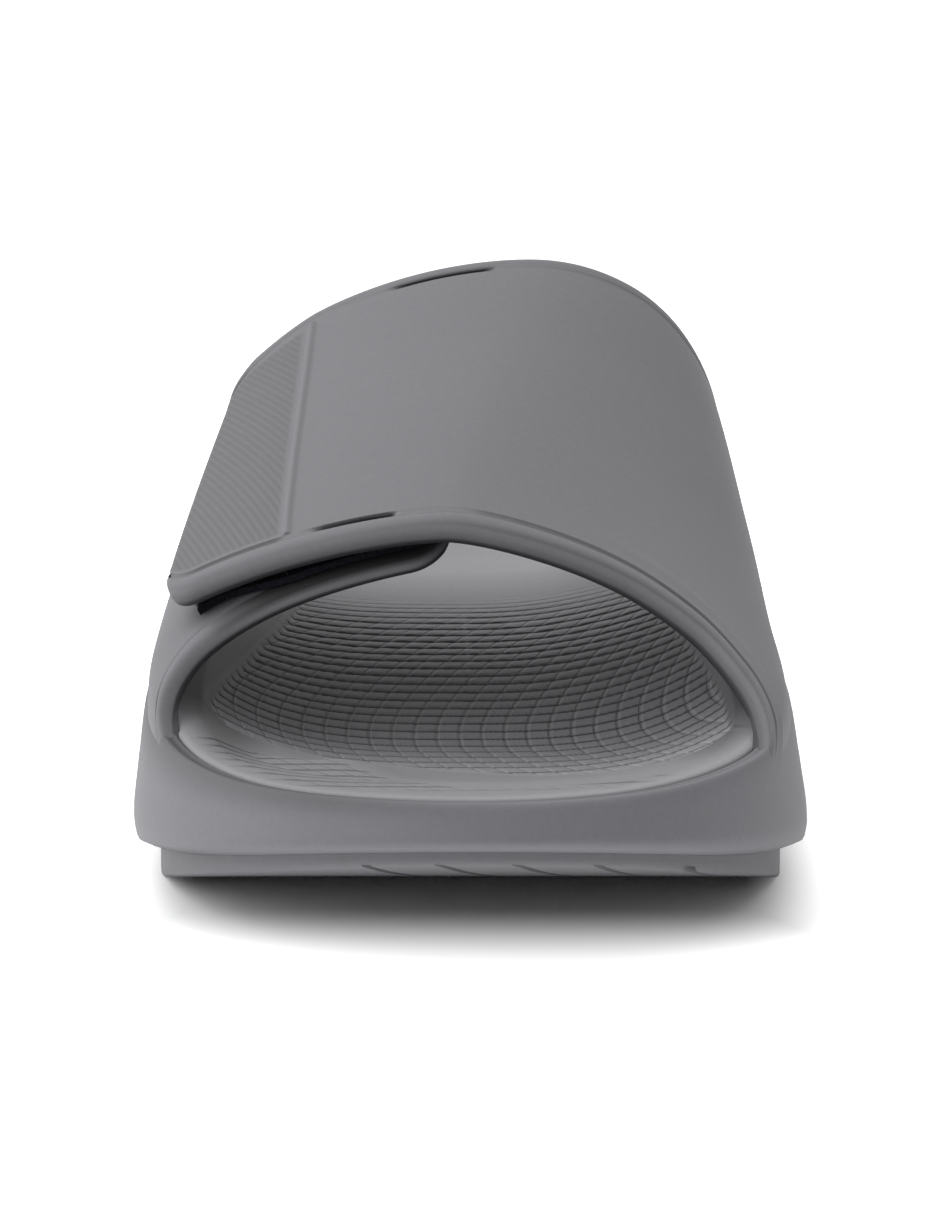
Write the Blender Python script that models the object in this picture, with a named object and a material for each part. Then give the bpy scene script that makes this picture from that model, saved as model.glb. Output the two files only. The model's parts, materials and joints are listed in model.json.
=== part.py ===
# Sport slide sandal, right shoe, in metres: the toe points along -Y, +X is medial, the floor is at Z = 0.
# The sole is a stack of lofted solids from one plan outline, and both straps are cut from one instep vault.
import math
from collections import namedtuple
from functools import partial

import bmesh
import bpy
from mathutils import Vector

# Sole sizes
LENGTH = 0.290
BALL_WIDTH = 0.116
TOE_SPRING = 0.0205
OUTSOLE_THICK = 0.0052
OUTSOLE_INSET = 0.0046
OUTSOLE_CHAMFER = 0.0007
BEVEL_RISE = 0.0014
LIP_INSET = 0.0012
WALL_LEAN = 0.0036
RIM_WIDTH = 0.0024
TRAY_DRAFT = 0.0006
TRAY_FLOOR_THICK = 0.0032
RIM_HEIGHT = 0.0475
RIM_BLEND = 0.3
BED_HEIGHT = 0.0333
BED_LIP_WIDTH = 0.0022
BED_SHOULDER = 0.0030
GAP = 0.0003

# Tread sizes
GROOVE_WIDTH = 0.0022
GROOVE_DEPTH = 0.0015
GROOVE_PITCH = 0.0124
GROOVE_ANGLE = math.radians(78)
GROOVE_FRONT_M = -0.106
GROOVE_FRONT_L = -0.052
GROOVE_FADE = 0.030

# Strap sizes
INSTEP_HEIGHT = 0.0958
VAULT_SPREAD = 0.012
ROOT_OUT_M = 0.0012
ROOT_OUT_L = 0.0009
FLARE_REACH = 0.009
FLARE_RISE = 0.012
UNDER_POWER_ROOT = 2.0
UNDER_POWER_TIP = 1.55
OVER_WALL = 0.0046
UNDER_WALL = 0.0042
BEAD_WIDTH = 0.0046
FACE_DROP = 0.0006
HOOK_THICK = 0.0006
LOOP_THICK = 0.0011
HOOK_MARGIN = 0.0055
LOOP_MARGIN = 0.0036
RAISED_BEAD = 0.0005
TIP_RADIUS = 0.009

# Mesh fineness
STATIONS = 40
FACE_POINTS = 6
GROOVE_STEPS = 17
OVER_COLUMNS = 24
UNDER_COLUMNS = 18
TAPE_COLUMNS = 14
TAPE_ROWS = 7
TURN_STEP = 0.004
ROOT_SHARE = 0.5

# The plan and the heights, a row for each station from toe to heel. along is a share of LENGTH, medial and
# lateral of BALL_WIDTH, lift of TOE_SPRING, tread of OUTSOLE_THICK, rim_m and rim_l of RIM_HEIGHT, bed of
# BED_HEIGHT, and lean_m and lean_l of WALL_LEAN.
Station = namedtuple("Station", "along medial lateral lift tread rim_m rim_l bed lean_m lean_l")
SOLE_ROWS = [
    Station(0.000, 0.020, 0.020, 1.000, 0.34, 0.625, 0.625, 0.870, 1.00, 1.00),
    Station(0.012, 0.180, -0.145, 0.955, 0.34, 0.624, 0.623, 0.869, 1.00, 1.00),
    Station(0.035, 0.278, -0.258, 0.860, 0.37, 0.624, 0.618, 0.867, 0.95, 0.95),
    Station(0.075, 0.368, -0.355, 0.690, 0.46, 0.627, 0.612, 0.845, 0.85, 0.85),
    Station(0.130, 0.438, -0.428, 0.475, 0.62, 0.637, 0.621, 0.765, 0.75, 0.75),
    Station(0.200, 0.482, -0.476, 0.230, 0.82, 0.660, 0.644, 0.675, 0.95, 0.80),
    Station(0.280, 0.498, -0.497, 0.000, 0.97, 0.698, 0.678, 0.655, 1.35, 0.95),
    Station(0.350, 0.496, -0.499, 0.000, 1.00, 0.748, 0.715, 0.725, 1.60, 1.15),
    Station(0.440, 0.477, -0.490, 0.000, 1.00, 0.825, 0.775, 0.890, 1.40, 1.30),
    Station(0.520, 0.452, -0.474, 0.070, 1.00, 0.890, 0.830, 0.990, 1.20, 1.25),
    Station(0.600, 0.428, -0.450, 0.070, 1.00, 0.935, 0.880, 1.000, 1.10, 1.15),
    Station(0.680, 0.408, -0.425, 0.000, 1.00, 0.962, 0.920, 0.935, 1.05, 1.05),
    Station(0.780, 0.392, -0.402, 0.000, 1.00, 0.980, 0.955, 0.870, 1.00, 1.00),
    Station(0.870, 0.362, -0.370, 0.000, 1.00, 0.992, 0.985, 0.860, 1.00, 1.00),
    Station(0.940, 0.285, -0.297, 0.045, 1.00, 1.000, 1.000, 0.930, 1.00, 1.00),
    Station(0.982, 0.165, -0.185, 0.160, 1.00, 1.000, 1.000, 1.100, 1.00, 1.00),
    Station(1.000, -0.010, -0.010, 0.270, 1.00, 1.000, 1.000, 1.220, 1.00, 1.00),
]

# The midsole's side, a row for each ring from the lip to the rim: up is a share of the wall's height, and the
# ring is inset by shares of LIP_INSET and WALL_LEAN.
Wall = namedtuple("Wall", "up lip lean")
WALL_ROWS = [
    Wall(0.00, 1.0, 0.00),
    Wall(0.05, 0.3, 0.00),
    Wall(0.13, 0.0, 0.00),
    Wall(0.40, 0.0, 0.19),
    Wall(0.70, 0.0, 0.44),
    Wall(0.90, 0.0, 0.68),
    Wall(0.97, 0.0, 0.82),
    Wall(1.00, 0.0, 1.00),
]

# The footbed's rings as shares from the sole's middle line, 0, to its edge, 1. Its dish is a power curve,
# which is softer over the medial arch.
BED_SHARES = (0.96, 0.90, 0.81, 0.70, 0.56, 0.38, 0.18)
BED_POWER = 3.6
ARCH_POWER = 2.1
ARCH_START = 0.25
ARCH_END = 0.75
SPINE_SHARE = 0.72

# The instep vault over the last, a row for each section. height is a share of INSTEP_HEIGHT, crown of
# BALL_WIDTH, and the powers say how square the medial and lateral shoulders are.
Vault = namedtuple("Vault", "along height crown power_m power_l")
VAULT_ROWS = [
    Vault(0.120, 0.490, -0.030, 1.60, 1.60),
    Vault(0.260, 0.648, -0.026, 1.60, 1.60),
    Vault(0.360, 0.770, 0.005, 1.68, 1.68),
    Vault(0.460, 0.888, 0.045, 1.95, 1.80),
    Vault(0.552, 1.000, 0.074, 2.25, 1.90),
    Vault(0.640, 1.075, 0.085, 2.35, 1.90),
]

# The straps' front and back edges: around runs from the lateral rim, 0, over the crown to the medial rim, 1.
Edge = namedtuple("Edge", "around front back")
OVER_EDGES = [
    Edge(0.200, 0.264, 0.490),
    Edge(0.270, 0.263, 0.520),
    Edge(0.350, 0.261, 0.540),
    Edge(0.500, 0.259, 0.552),
    Edge(0.620, 0.252, 0.556),
    Edge(0.700, 0.244, 0.562),
    Edge(0.784, 0.224, 0.570),
    Edge(0.848, 0.196, 0.580),
    Edge(0.920, 0.172, 0.592),
    Edge(1.000, 0.158, 0.605),
]
UNDER_EDGES = [
    Edge(0.000, 0.196, 0.600),
    Edge(0.050, 0.206, 0.590),
    Edge(0.110, 0.222, 0.575),
    Edge(0.200, 0.246, 0.556),
    Edge(0.300, 0.262, 0.545),
    Edge(0.480, 0.276, 0.535),
]

# A closure tape: the strap edges it follows, its margin behind them, its ends around the vault, the depth of
# its outer face under the strap's outer face, and its thickness.
Tape = namedtuple("Tape", "edges margin start end depth thick")

# The bead's rounded nose: shares of BEAD_WIDTH from the edge and of the wall below the outer face.
NOSE_ROWS = [(0.0, 0.50), (0.09, 0.26), (0.30, 0.07), (0.62, 0.0)]
OUTER_COUNT = 2 * len(NOSE_ROWS) + FACE_POINTS + 2

# The last columns toward a strap's tip, as a share of its way and of its full thickness.
Tip = namedtuple("Tip", "share thick")
OVER_TIP_ROWS = [
    Tip(0.000, 0.45),
    Tip(0.006, 0.82),
    Tip(0.014, 1.00),
    Tip(0.030, 1.00),
    Tip(0.050, 1.00),
    Tip(0.075, 1.00),
    Tip(0.110, 1.00),
]
OVER_ROOT_SHARES = (0.987, 0.996, 1.0)
UNDER_PLAIN = 0.88
UNDER_TIP_ROWS = [
    Tip(0.920, 1.00),
    Tip(0.955, 1.00),
    Tip(0.985, 1.00),
    Tip(0.995, 0.82),
    Tip(1.000, 0.45),
]

# Where the pieces end, as shares around the vault: the over-strap's tip leans, so it has two values. Its grip
# panel ends in a raised bead at GRIP_TURN, and GRIP_SHARE of the strap's columns lie on the panel.
OVER_TIP_FRONT = 0.205
OVER_TIP_BACK = 0.262
GRIP_TURN = 0.332
GRIP_SHARE = 0.160
BEAD_TURN = 0.006
UNDER_TIP = 0.480
LOOP_START = 0.170
LOOP_END = 0.440
HOOK_START = 0.275
HOOK_END = 0.350


def slopes_of(xs, ys):
    """Tangents that keep a curve through the rows free of overshoot."""
    steps = [(y2 - y1) / (x2 - x1) for x1, x2, y1, y2 in zip(xs, xs[1:], ys, ys[1:])]
    slopes = [steps[0]]
    for before, after in zip(steps, steps[1:]):
        slopes.append(0.0 if before * after <= 0 else 2 * before * after / (before + after))
    slopes.append(steps[-1])
    return slopes


def through(xs, ys, slopes, x):
    """Cubic curve value at x through points with the given slopes."""
    last = len(xs) - 2
    i = max(0, min(last, sum(1 for value in xs if value <= x) - 1))
    span = xs[i + 1] - xs[i]
    t = max(0.0, min(1.0, (x - xs[i]) / span))
    blend = t * t * (3 - 2 * t)
    start = t * (1 - t) ** 2 * span * slopes[i]
    end = t * t * (t - 1) * span * slopes[i + 1]
    return ys[i] + (ys[i + 1] - ys[i]) * blend + start + end


def reader(rows, key, column):
    """A function that reads one column of a table at any place along it."""
    xs = [getattr(row, key) for row in rows]
    ys = [getattr(row, column) for row in rows]
    slopes = slopes_of(xs, ys)
    return lambda x: through(xs, ys, slopes, x)


def plan_reader():
    """The plan's half-widths over the turning angle, which rounds the toe and the heel."""
    angles = [math.acos(1 - 2 * row.along) for row in SOLE_ROWS]
    medial = [row.medial for row in SOLE_ROWS]
    lateral = [row.lateral for row in SOLE_ROWS]
    turn = angles + [2 * math.pi - a for a in reversed(angles[:-1])]
    edge = medial + list(reversed(lateral[:-1]))
    count = len(turn) - 1
    slopes = []
    for i in range(count + 1):
        a = (i - 1) % count
        b = (i + 1) % count
        span = (turn[b] - turn[a]) % (2 * math.pi)
        slopes.append((edge[b] - edge[a]) / span)
    return lambda angle: through(turn, edge, slopes, angle % (2 * math.pi))


plan_x = plan_reader()
lift_at = reader(SOLE_ROWS, "along", "lift")
tread_at = reader(SOLE_ROWS, "along", "tread")
rim_medial = reader(SOLE_ROWS, "along", "rim_m")
rim_lateral = reader(SOLE_ROWS, "along", "rim_l")
bed_at = reader(SOLE_ROWS, "along", "bed")
lean_medial = reader(SOLE_ROWS, "along", "lean_m")
lean_lateral = reader(SOLE_ROWS, "along", "lean_l")
vault_height = reader(VAULT_ROWS, "along", "height")
vault_crown = reader(VAULT_ROWS, "along", "crown")
power_medial = reader(VAULT_ROWS, "along", "power_m")
power_lateral = reader(VAULT_ROWS, "along", "power_l")


def along_of(y):
    return max(0.0, min(1.0, y / LENGTH + 0.5))


def side_x(y, side):
    """Outline x at y, on the medial side (+1) or the lateral side (-1)."""
    angle = math.acos(1 - 2 * along_of(y))
    return BALL_WIDTH * plan_x(angle if side > 0 else 2 * math.pi - angle)


def floor_z(y):
    return TOE_SPRING * lift_at(along_of(y))


def rim_z(x, y):
    """Rim height: each side has its own value, blended over the middle band of the shoe."""
    along = along_of(y)
    share = max(0.0, min(1.0, x / (RIM_BLEND * BALL_WIDTH) + 0.5))
    low, high = rim_lateral(along), rim_medial(along)
    return RIM_HEIGHT * (low + (high - low) * share)


def lean_at(x, y):
    """How far the wall leans in at the rim."""
    along = along_of(y)
    share = max(0.0, min(1.0, x / (RIM_BLEND * BALL_WIDTH) + 0.5))
    low, high = lean_lateral(along), lean_medial(along)
    return WALL_LEAN * (low + (high - low) * share)


def outline_points(inset, lean):
    """Ring of plan points, toe tip and medial side first, moved inward by inset and a share of the lean."""
    count = 2 * STATIONS
    ring = []
    for i in range(count):
        angle = 2 * math.pi * i / count
        ring.append(Vector((BALL_WIDTH * plan_x(angle), -LENGTH / 2 * math.cos(angle))))
    moved = []
    for i, point in enumerate(ring):
        tangent = (ring[(i + 1) % count] - ring[i - 1]).normalized()
        depth = inset + lean * lean_at(point.x, point.y)
        moved.append(point + depth * Vector((-tangent.y, tangent.x)))
    return moved


def spine_point(point):
    """The place on the sole's middle line that a ring point shrinks toward."""
    y = point.y * SPINE_SHARE
    x = (side_x(y, 1) + side_x(y, -1)) / 2
    return Vector((x, y))


def ring_at(inset, height, lean=0.0):
    """Ring of 3-D points at an inset and a share of the wall's lean, with height(x, y)."""
    return [Vector((p.x, p.y, height(p.x, p.y))) for p in outline_points(inset, lean)]


def inner_ring(inset, share, height):
    """Ring between an inset outline, at share 1, and the middle line, at share 0."""
    ring = []
    for p in outline_points(inset, 1.0):
        q = spine_point(p).lerp(p, share)
        ring.append(Vector((q.x, q.y, height(q.x, q.y, share))))
    return ring


def add_ring(bm, points):
    return [bm.verts.new(p) for p in points]


def bridge(bm, low, high):
    """Side faces between two rings with the same count of points."""
    count = len(low)
    for i in range(count):
        j = (i + 1) % count
        bm.faces.new((low[i], low[j], high[j], high[i]))


def cap_across(bm, ring, up):
    """Close a sole ring with strips from the medial side to the lateral side."""
    count = len(ring)
    half = count // 2
    for i in range(half):
        corners = [ring[i], ring[i + 1], ring[(count - i - 1) % count], ring[(count - i) % count]]
        corners = list(dict.fromkeys(corners))
        bm.faces.new(corners if up else list(reversed(corners)))


def finish_object(name, bm, material, smooth_angle=35):
    """Turn a bmesh into a named object with its material and smooth shading."""
    bmesh.ops.recalc_face_normals(bm, faces=bm.faces)
    bmesh.ops.triangulate(bm, faces=bm.faces)
    mesh = bpy.data.meshes.new(name)
    bm.to_mesh(mesh)
    bm.free()
    mesh.materials.append(material)
    mesh.shade_smooth()
    mesh.set_sharp_from_angle(angle=math.radians(smooth_angle))
    piece = bpy.data.objects.new(name, mesh)
    bpy.context.collection.objects.link(piece)
    return piece


def make_material(name, color, roughness):
    material = bpy.data.materials.new(name)
    material.use_nodes = True
    shader = material.node_tree.nodes["Principled BSDF"]
    shader.inputs["Base Color"].default_value = (*color, 1.0)
    shader.inputs["Roughness"].default_value = roughness
    shader.inputs["Metallic"].default_value = 0.0
    return material


def loft_sole(rings):
    """Closed solid from sole rings, first ring at the bottom and last ring at the top."""
    bm = bmesh.new()
    made = [add_ring(bm, ring) for ring in rings]
    cap_across(bm, made[0], up=False)
    for low, high in zip(made, made[1:]):
        bridge(bm, low, high)
    cap_across(bm, made[-1], up=True)
    return bm


def outsole_top(x, y):
    return floor_z(y) + OUTSOLE_THICK * tread_at(along_of(y))


def midsole_base(x, y):
    return outsole_top(x, y) + GAP


def tray_floor(x, y):
    return midsole_base(x, y) + TRAY_FLOOR_THICK


def groove_cutter(name, offset):
    """A bent bar that follows the outsole's underside across the shoe, for one tread groove."""
    direction = Vector((math.cos(GROOVE_ANGLE), math.sin(GROOVE_ANGLE)))
    across = Vector((-direction.y, direction.x)) * GROOVE_WIDTH / 2
    y_start = GROOVE_FRONT_M if offset > 0 else GROOVE_FRONT_L
    y_end = LENGTH / 2
    bm = bmesh.new()
    previous = None
    for i in range(GROOVE_STEPS):
        y = y_start + (y_end - y_start) * i / (GROOVE_STEPS - 1)
        p = Vector((offset, 0.0)) + direction * y / direction.y
        z = floor_z(p.y)
        low = z - 2 * GROOVE_DEPTH
        fade = min(1.0, (y - y_start) / GROOVE_FADE)
        high = z + GROOVE_DEPTH * (1.5 * fade - 0.5 if fade < 1.0 else 1.0)
        a, b = p - across, p + across
        corners = [(a.x, a.y, low), (b.x, b.y, low), (b.x, b.y, high), (a.x, a.y, high)]
        section = [bm.verts.new(c) for c in corners]
        if previous:
            bridge(bm, previous, section)
        else:
            bm.faces.new(section)
        previous = section
    bm.faces.new(list(reversed(previous)))
    bmesh.ops.recalc_face_normals(bm, faces=bm.faces)
    mesh = bpy.data.meshes.new(name)
    bm.to_mesh(mesh)
    bm.free()
    cutter = bpy.data.objects.new(name, mesh)
    bpy.context.collection.objects.link(cutter)
    cutter.hide_render = True
    cutter.display_type = "WIRE"
    return cutter


def make_outsole(material):
    """Thin tread sole, set in under the midsole, with slanting tread grooves."""
    edge = OUTSOLE_INSET + OUTSOLE_CHAMFER
    rings = [
        ring_at(edge, lambda x, y: floor_z(y)),
        ring_at(OUTSOLE_INSET, lambda x, y: floor_z(y) + OUTSOLE_CHAMFER),
        ring_at(OUTSOLE_INSET, outsole_top),
    ]
    sole = finish_object("outsole", loft_sole(rings), material)
    slant = LENGTH / 2 / math.tan(GROOVE_ANGLE)
    count = int((BALL_WIDTH / 2 + slant) / GROOVE_PITCH)
    for i in range(-count, count + 1):
        cutter = groove_cutter(f"groove_cutter_{i + count}", i * GROOVE_PITCH)
        cut = sole.modifiers.new(f"groove_{i + count}", "BOOLEAN")
        cut.operation = "DIFFERENCE"
        cut.object = cutter
    return sole


def make_midsole(material):
    """Foam body: bevel step and lip, bulging wall, rim and the tray that holds the footbed."""
    def side(row):
        def height(x, y):
            low = midsole_base(x, y) + BEVEL_RISE * tread_at(along_of(y))
            return low + (rim_z(x, y) - low) * row.up
        return ring_at(LIP_INSET * row.lip, height, row.lean)

    rings = [ring_at(OUTSOLE_INSET + GAP, midsole_base)]
    rings += [side(row) for row in WALL_ROWS]
    rings.append(ring_at(RIM_WIDTH, rim_z, 1.0))
    rings.append(ring_at(RIM_WIDTH + TRAY_DRAFT, tray_floor, 1.0))
    return finish_object("midsole", loft_sole(rings), material)


def bed_height(x, y, share):
    """Footbed top: the middle line's height, dished up to the rim at the sides and the heel."""
    along = along_of(y)
    middle = BED_HEIGHT * bed_at(along)
    edge = rim_z(x, y) - GAP
    arch = (along - ARCH_START) / (ARCH_END - ARCH_START)
    softer = math.sin(math.pi * arch) if 0 < arch < 1 and x > 0 else 0.0
    power = BED_POWER + (ARCH_POWER - BED_POWER) * softer
    return middle + (edge - middle) * share ** power


def make_footbed(material):
    """Contoured insert: a lip along the seam, heel cup, arch and the toe ridge."""
    outer = RIM_WIDTH + GAP
    lip = outer + BED_LIP_WIDTH
    shoulder = lip + BED_SHOULDER
    bottom = outer + TRAY_DRAFT
    edge_ring = ring_at(outer, rim_z, 1.0)
    lip_ring = ring_at(lip, rim_z, 1.0)
    rings = [ring_at(bottom, lambda x, y: tray_floor(x, y) + GAP, 1.0), edge_ring, lip_ring]
    for share in BED_SHARES:
        rings.append(inner_ring(shoulder, share, bed_height))
    return finish_object("footbed", loft_sole(rings), material, smooth_angle=60)


def over_vault(y, turn):
    """Outer face of the over-strap at a section: turn is 0 low on the lateral side, 1 at the medial rim."""
    side = 1 if turn > 0.5 else -1
    if side > 0:
        base_x = side_x(y, 1) - lean_at(BALL_WIDTH, y) + ROOT_OUT_M
    else:
        base_x = side_x(y, -1) - VAULT_SPREAD
    power = power_medial(along_of(y)) if side > 0 else power_lateral(along_of(y))
    return vault_curve(y, turn, base_x, 0.0, power)


def under_vault(y, turn):
    """Outer face of the under-strap at a section, from the lateral rim, 0, toward the medial side."""
    base_x = side_x(y, -1) + lean_at(-BALL_WIDTH, y) - ROOT_OUT_L
    power = UNDER_POWER_ROOT + (UNDER_POWER_TIP - UNDER_POWER_ROOT) * min(1.0, 2 * turn)
    return vault_curve(y, turn, base_x, OVER_WALL + HOOK_THICK + LOOP_THICK + 3 * GAP, power)


def vault_curve(y, turn, base_x, drop, power):
    """Quarter superellipse from a base on the rim up to the crown, which lies drop lower."""
    along = along_of(y)
    crown_x = BALL_WIDTH * vault_crown(along)
    crown_z = INSTEP_HEIGHT * vault_height(along) - drop
    base_z = rim_z(base_x, y) + GAP
    angle = math.pi * turn
    reach = abs(math.cos(angle)) ** (2 / power)
    rise = max(0.0, math.sin(angle)) ** (2 / power)
    return Vector((crown_x + (base_x - crown_x) * reach, y, base_z + (crown_z - base_z) * rise))


def depth_point(vault, y, turn, depth):
    """Point at a depth inside a vault's outer face, square to it across the shoe, above the strap's root."""
    tangent = vault(y, min(1.0, turn + TURN_STEP)) - vault(y, max(0.0, turn - TURN_STEP))
    if turn <= 0.0:
        tangent = Vector((0.0, 0.0, 1.0))
    if turn >= 1.0:
        tangent = Vector((0.0, 0.0, -1.0))
    inward = Vector((tangent.z, 0.0, -tangent.x)).normalized()
    face = vault(y, turn)
    root = vault(y, 1.0 if turn > 0.5 else 0.0)
    point = face + inward * depth
    point.z = max(point.z, root.z + ROOT_SHARE * (face.z - root.z))
    return point


def root_flare(vault, y, turn):
    """How far a strap's front edge sweeps forward low down, where it runs out along the rim."""
    face = vault(y, turn)
    height = face.z - rim_z(face.x, y)
    return FLARE_REACH * max(0.0, 1.0 - height / FLARE_RISE) ** 2


def strap_section(wall):
    """Section across a strap as (from front, from back, depth): beads at both edges and a lower face."""
    nose = NOSE_ROWS
    front = [(BEAD_WIDTH * w, None, wall * d) for w, d in nose]
    back = [(None, BEAD_WIDTH * w, wall * d) for w, d in reversed(nose)]
    low_front = [(BEAD_WIDTH * w, None, wall * (1 - d)) for w, d in nose[1:3]]
    low_back = [(None, BEAD_WIDTH * w, wall * (1 - d)) for w, d in nose[1:3]]
    face = face_shares(FACE_POINTS, FACE_DROP)
    outer = [(BEAD_WIDTH, None, FACE_DROP), *face, (None, BEAD_WIDTH, FACE_DROP)]
    inner = face_shares(FACE_POINTS - 1, wall)
    return front + outer + back + low_back + list(reversed(inner)) + list(reversed(low_front))


def face_shares(count, depth):
    """Points spread over the strap's face: share of the width, marked by both edges."""
    return [("share", (i + 1) / (count + 1), depth) for i in range(count)]


def place_section(vault, section, y_front, y_back, turn_of, round_by):
    """3-D points of one strap section between its front and back edges."""
    points = []
    low, high = y_front + round_by, y_back - round_by
    for a, b, depth in section:
        if a == "share":
            y = low + BEAD_WIDTH + (high - low - 2 * BEAD_WIDTH) * b
        elif b is None:
            y = low + a
        else:
            y = high - b
        points.append(depth_point(vault, y, turn_of((y - y_front) / (y_back - y_front)), depth))
    return points


def squeeze(section, middle, factor):
    """The section with its thickness scaled about a middle depth, to round off a strap's end."""
    return [(a, b, middle + (depth - middle) * factor) for a, b, depth in section]


def corner_round(distance, radius):
    """How far an edge pulls in at a distance from the end of a rounded tip."""
    if distance >= radius:
        return 0.0
    return radius - math.sqrt(max(0.0, radius ** 2 - (radius - distance) ** 2))


def cap_strip(bm, ring, upper_count, flip):
    """Close a strap's end with triangles between its outer row and its inner row, front to back."""
    upper = ring[:upper_count]
    lower = list(reversed(ring[upper_count:]))
    i = j = 0
    while i < len(upper) - 1 or j < len(lower) - 1:
        upper_next = upper[i + 1].co.y if i < len(upper) - 1 else math.inf
        lower_next = lower[j + 1].co.y if j < len(lower) - 1 else math.inf
        if upper_next <= lower_next:
            corners = [upper[i], upper[i + 1], lower[j]]
            i += 1
        else:
            corners = [upper[i], lower[j + 1], lower[j]]
            j += 1
        bm.faces.new(list(reversed(corners)) if flip else corners)


def loft_strap(name, sections, upper_count, material):
    """Closed solid through strap sections, each an outer row of upper_count points and an inner row back."""
    bm = bmesh.new()
    made = [add_ring(bm, section) for section in sections]
    cap_strip(bm, made[0], upper_count, flip=True)
    for low, high in zip(made, made[1:]):
        bridge(bm, low, high)
    cap_strip(bm, made[-1], upper_count, flip=False)
    return finish_object(name, bm, material, smooth_angle=50)


def over_turn(share, across):
    """Place around the vault of an over-strap column: the tip leans, and the raised bead stands straight."""
    tip = OVER_TIP_FRONT + (OVER_TIP_BACK - OVER_TIP_FRONT) * across
    if share < GRIP_SHARE:
        return tip + (GRIP_TURN - tip) * share / GRIP_SHARE
    return GRIP_TURN + (1.0 - GRIP_TURN) * (share - GRIP_SHARE) / (1.0 - GRIP_SHARE)


def lift_face(section, height):
    """The section with its outer face raised, for the bead beside the grip panel."""
    return [(a, b, depth - height if depth == FACE_DROP else depth) for a, b, depth in section]


def make_over_strap(material):
    """Long strap from the medial rim over the instep to its rounded tip on the lateral side."""
    front_of = reader(OVER_EDGES, "around", "front")
    back_of = reader(OVER_EDGES, "around", "back")
    plain = strap_section(OVER_WALL)
    beaded = lift_face(plain, RAISED_BEAD)
    middle = OVER_WALL * 0.5
    arc = math.pi * BALL_WIDTH * 0.5
    step = BEAD_TURN * (1.0 - GRIP_SHARE) / (1.0 - GRIP_TURN)
    columns = [(row.share, row.thick, plain) for row in OVER_TIP_ROWS]
    columns.append((GRIP_SHARE - step, 1.0, plain))
    columns.append((GRIP_SHARE, 1.0, beaded))
    columns.append((GRIP_SHARE + step, 1.0, plain))
    start = GRIP_SHARE + 3 * step
    columns += [(start + (1.0 - start) * i / OVER_COLUMNS, 1.0, plain) for i in range(OVER_COLUMNS)]
    columns += [(share, 1.0, plain) for share in OVER_ROOT_SHARES]
    sections = []
    for share, factor, section in columns:
        turn = over_turn(share, 0.5)
        y_front = LENGTH * (front_of(turn) - 0.5)
        y_back = LENGTH * (back_of(turn) - 0.5)
        if turn > 0.5:
            y_front -= root_flare(over_vault, y_front, turn)
        round_by = corner_round(share * arc, TIP_RADIUS)
        squeezed = squeeze(section, middle, factor)
        turn_of = partial(over_turn, share)
        sections.append(place_section(over_vault, squeezed, y_front, y_back, turn_of, round_by))
    return loft_strap("strap_over", sections, OUTER_COUNT, material)


def make_under_strap(material):
    """Short strap from the lateral rim up to a rounded tip under the crown."""
    front_of = reader(UNDER_EDGES, "around", "front")
    back_of = reader(UNDER_EDGES, "around", "back")
    section = strap_section(UNDER_WALL)
    middle = UNDER_WALL * 0.5
    arc = math.pi * BALL_WIDTH * 0.5 * UNDER_TIP
    sections = []
    columns = [(UNDER_PLAIN * i / UNDER_COLUMNS, 1.0) for i in range(UNDER_COLUMNS + 1)]
    columns += [(row.share, row.thick) for row in UNDER_TIP_ROWS]
    for share, factor in columns:
        turn = UNDER_TIP * share
        y_front = LENGTH * (front_of(turn) - 0.5)
        y_back = LENGTH * (back_of(turn) - 0.5)
        y_front -= root_flare(under_vault, y_front, turn)
        round_by = corner_round((1 - share) * arc, TIP_RADIUS)
        squeezed = squeeze(section, middle, factor)
        sections.append(place_section(under_vault, squeezed, y_front, y_back, lambda v: turn, round_by))
    return loft_strap("strap_under", sections, OUTER_COUNT, material)


def make_tape(name, vault, tape, material):
    """A thin tape on a strap's vault, between the strap's front edge and the over-strap's back edge."""
    front_of = reader(tape.edges, "around", "front")
    back_of = reader(OVER_EDGES, "around", "back")
    sections = []
    for i in range(TAPE_COLUMNS + 1):
        turn = tape.start + (tape.end - tape.start) * i / TAPE_COLUMNS
        y_front = LENGTH * (front_of(turn) - 0.5) + tape.margin
        y_back = LENGTH * (back_of(max(turn, OVER_TIP_BACK)) - 0.5) - HOOK_MARGIN
        ys = [y_front + (y_back - y_front) * j / TAPE_ROWS for j in range(TAPE_ROWS + 1)]
        upper = [depth_point(vault, y, turn, tape.depth) for y in ys]
        lower = [depth_point(vault, y, turn, tape.depth + tape.thick) for y in reversed(ys)]
        sections.append(upper + lower)
    return loft_strap(name, sections, TAPE_ROWS + 1, material)


def clear_scene():
    for old in list(bpy.data.objects):
        bpy.data.objects.remove(old, do_unlink=True)


def build():
    clear_scene()
    foam = make_material("foam", (0.235, 0.235, 0.25), 0.62)
    bed_foam = make_material("bed_foam", (0.205, 0.205, 0.215), 0.66)
    rubber = make_material("rubber", (0.175, 0.175, 0.19), 0.7)
    tape = make_material("tape", (0.012, 0.012, 0.016), 0.95)
    make_outsole(rubber)
    make_midsole(foam)
    make_footbed(bed_foam)
    make_over_strap(foam)
    make_under_strap(foam)
    hook = Tape(OVER_EDGES, HOOK_MARGIN, HOOK_START, HOOK_END, OVER_WALL + GAP, HOOK_THICK)
    loop = Tape(UNDER_EDGES, LOOP_MARGIN, LOOP_START, LOOP_END, -GAP - LOOP_THICK, LOOP_THICK)
    make_tape("hook_tape", over_vault, hook, tape)
    make_tape("loop_tape", under_vault, loop, tape)


build()
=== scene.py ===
import json
import math

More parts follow.
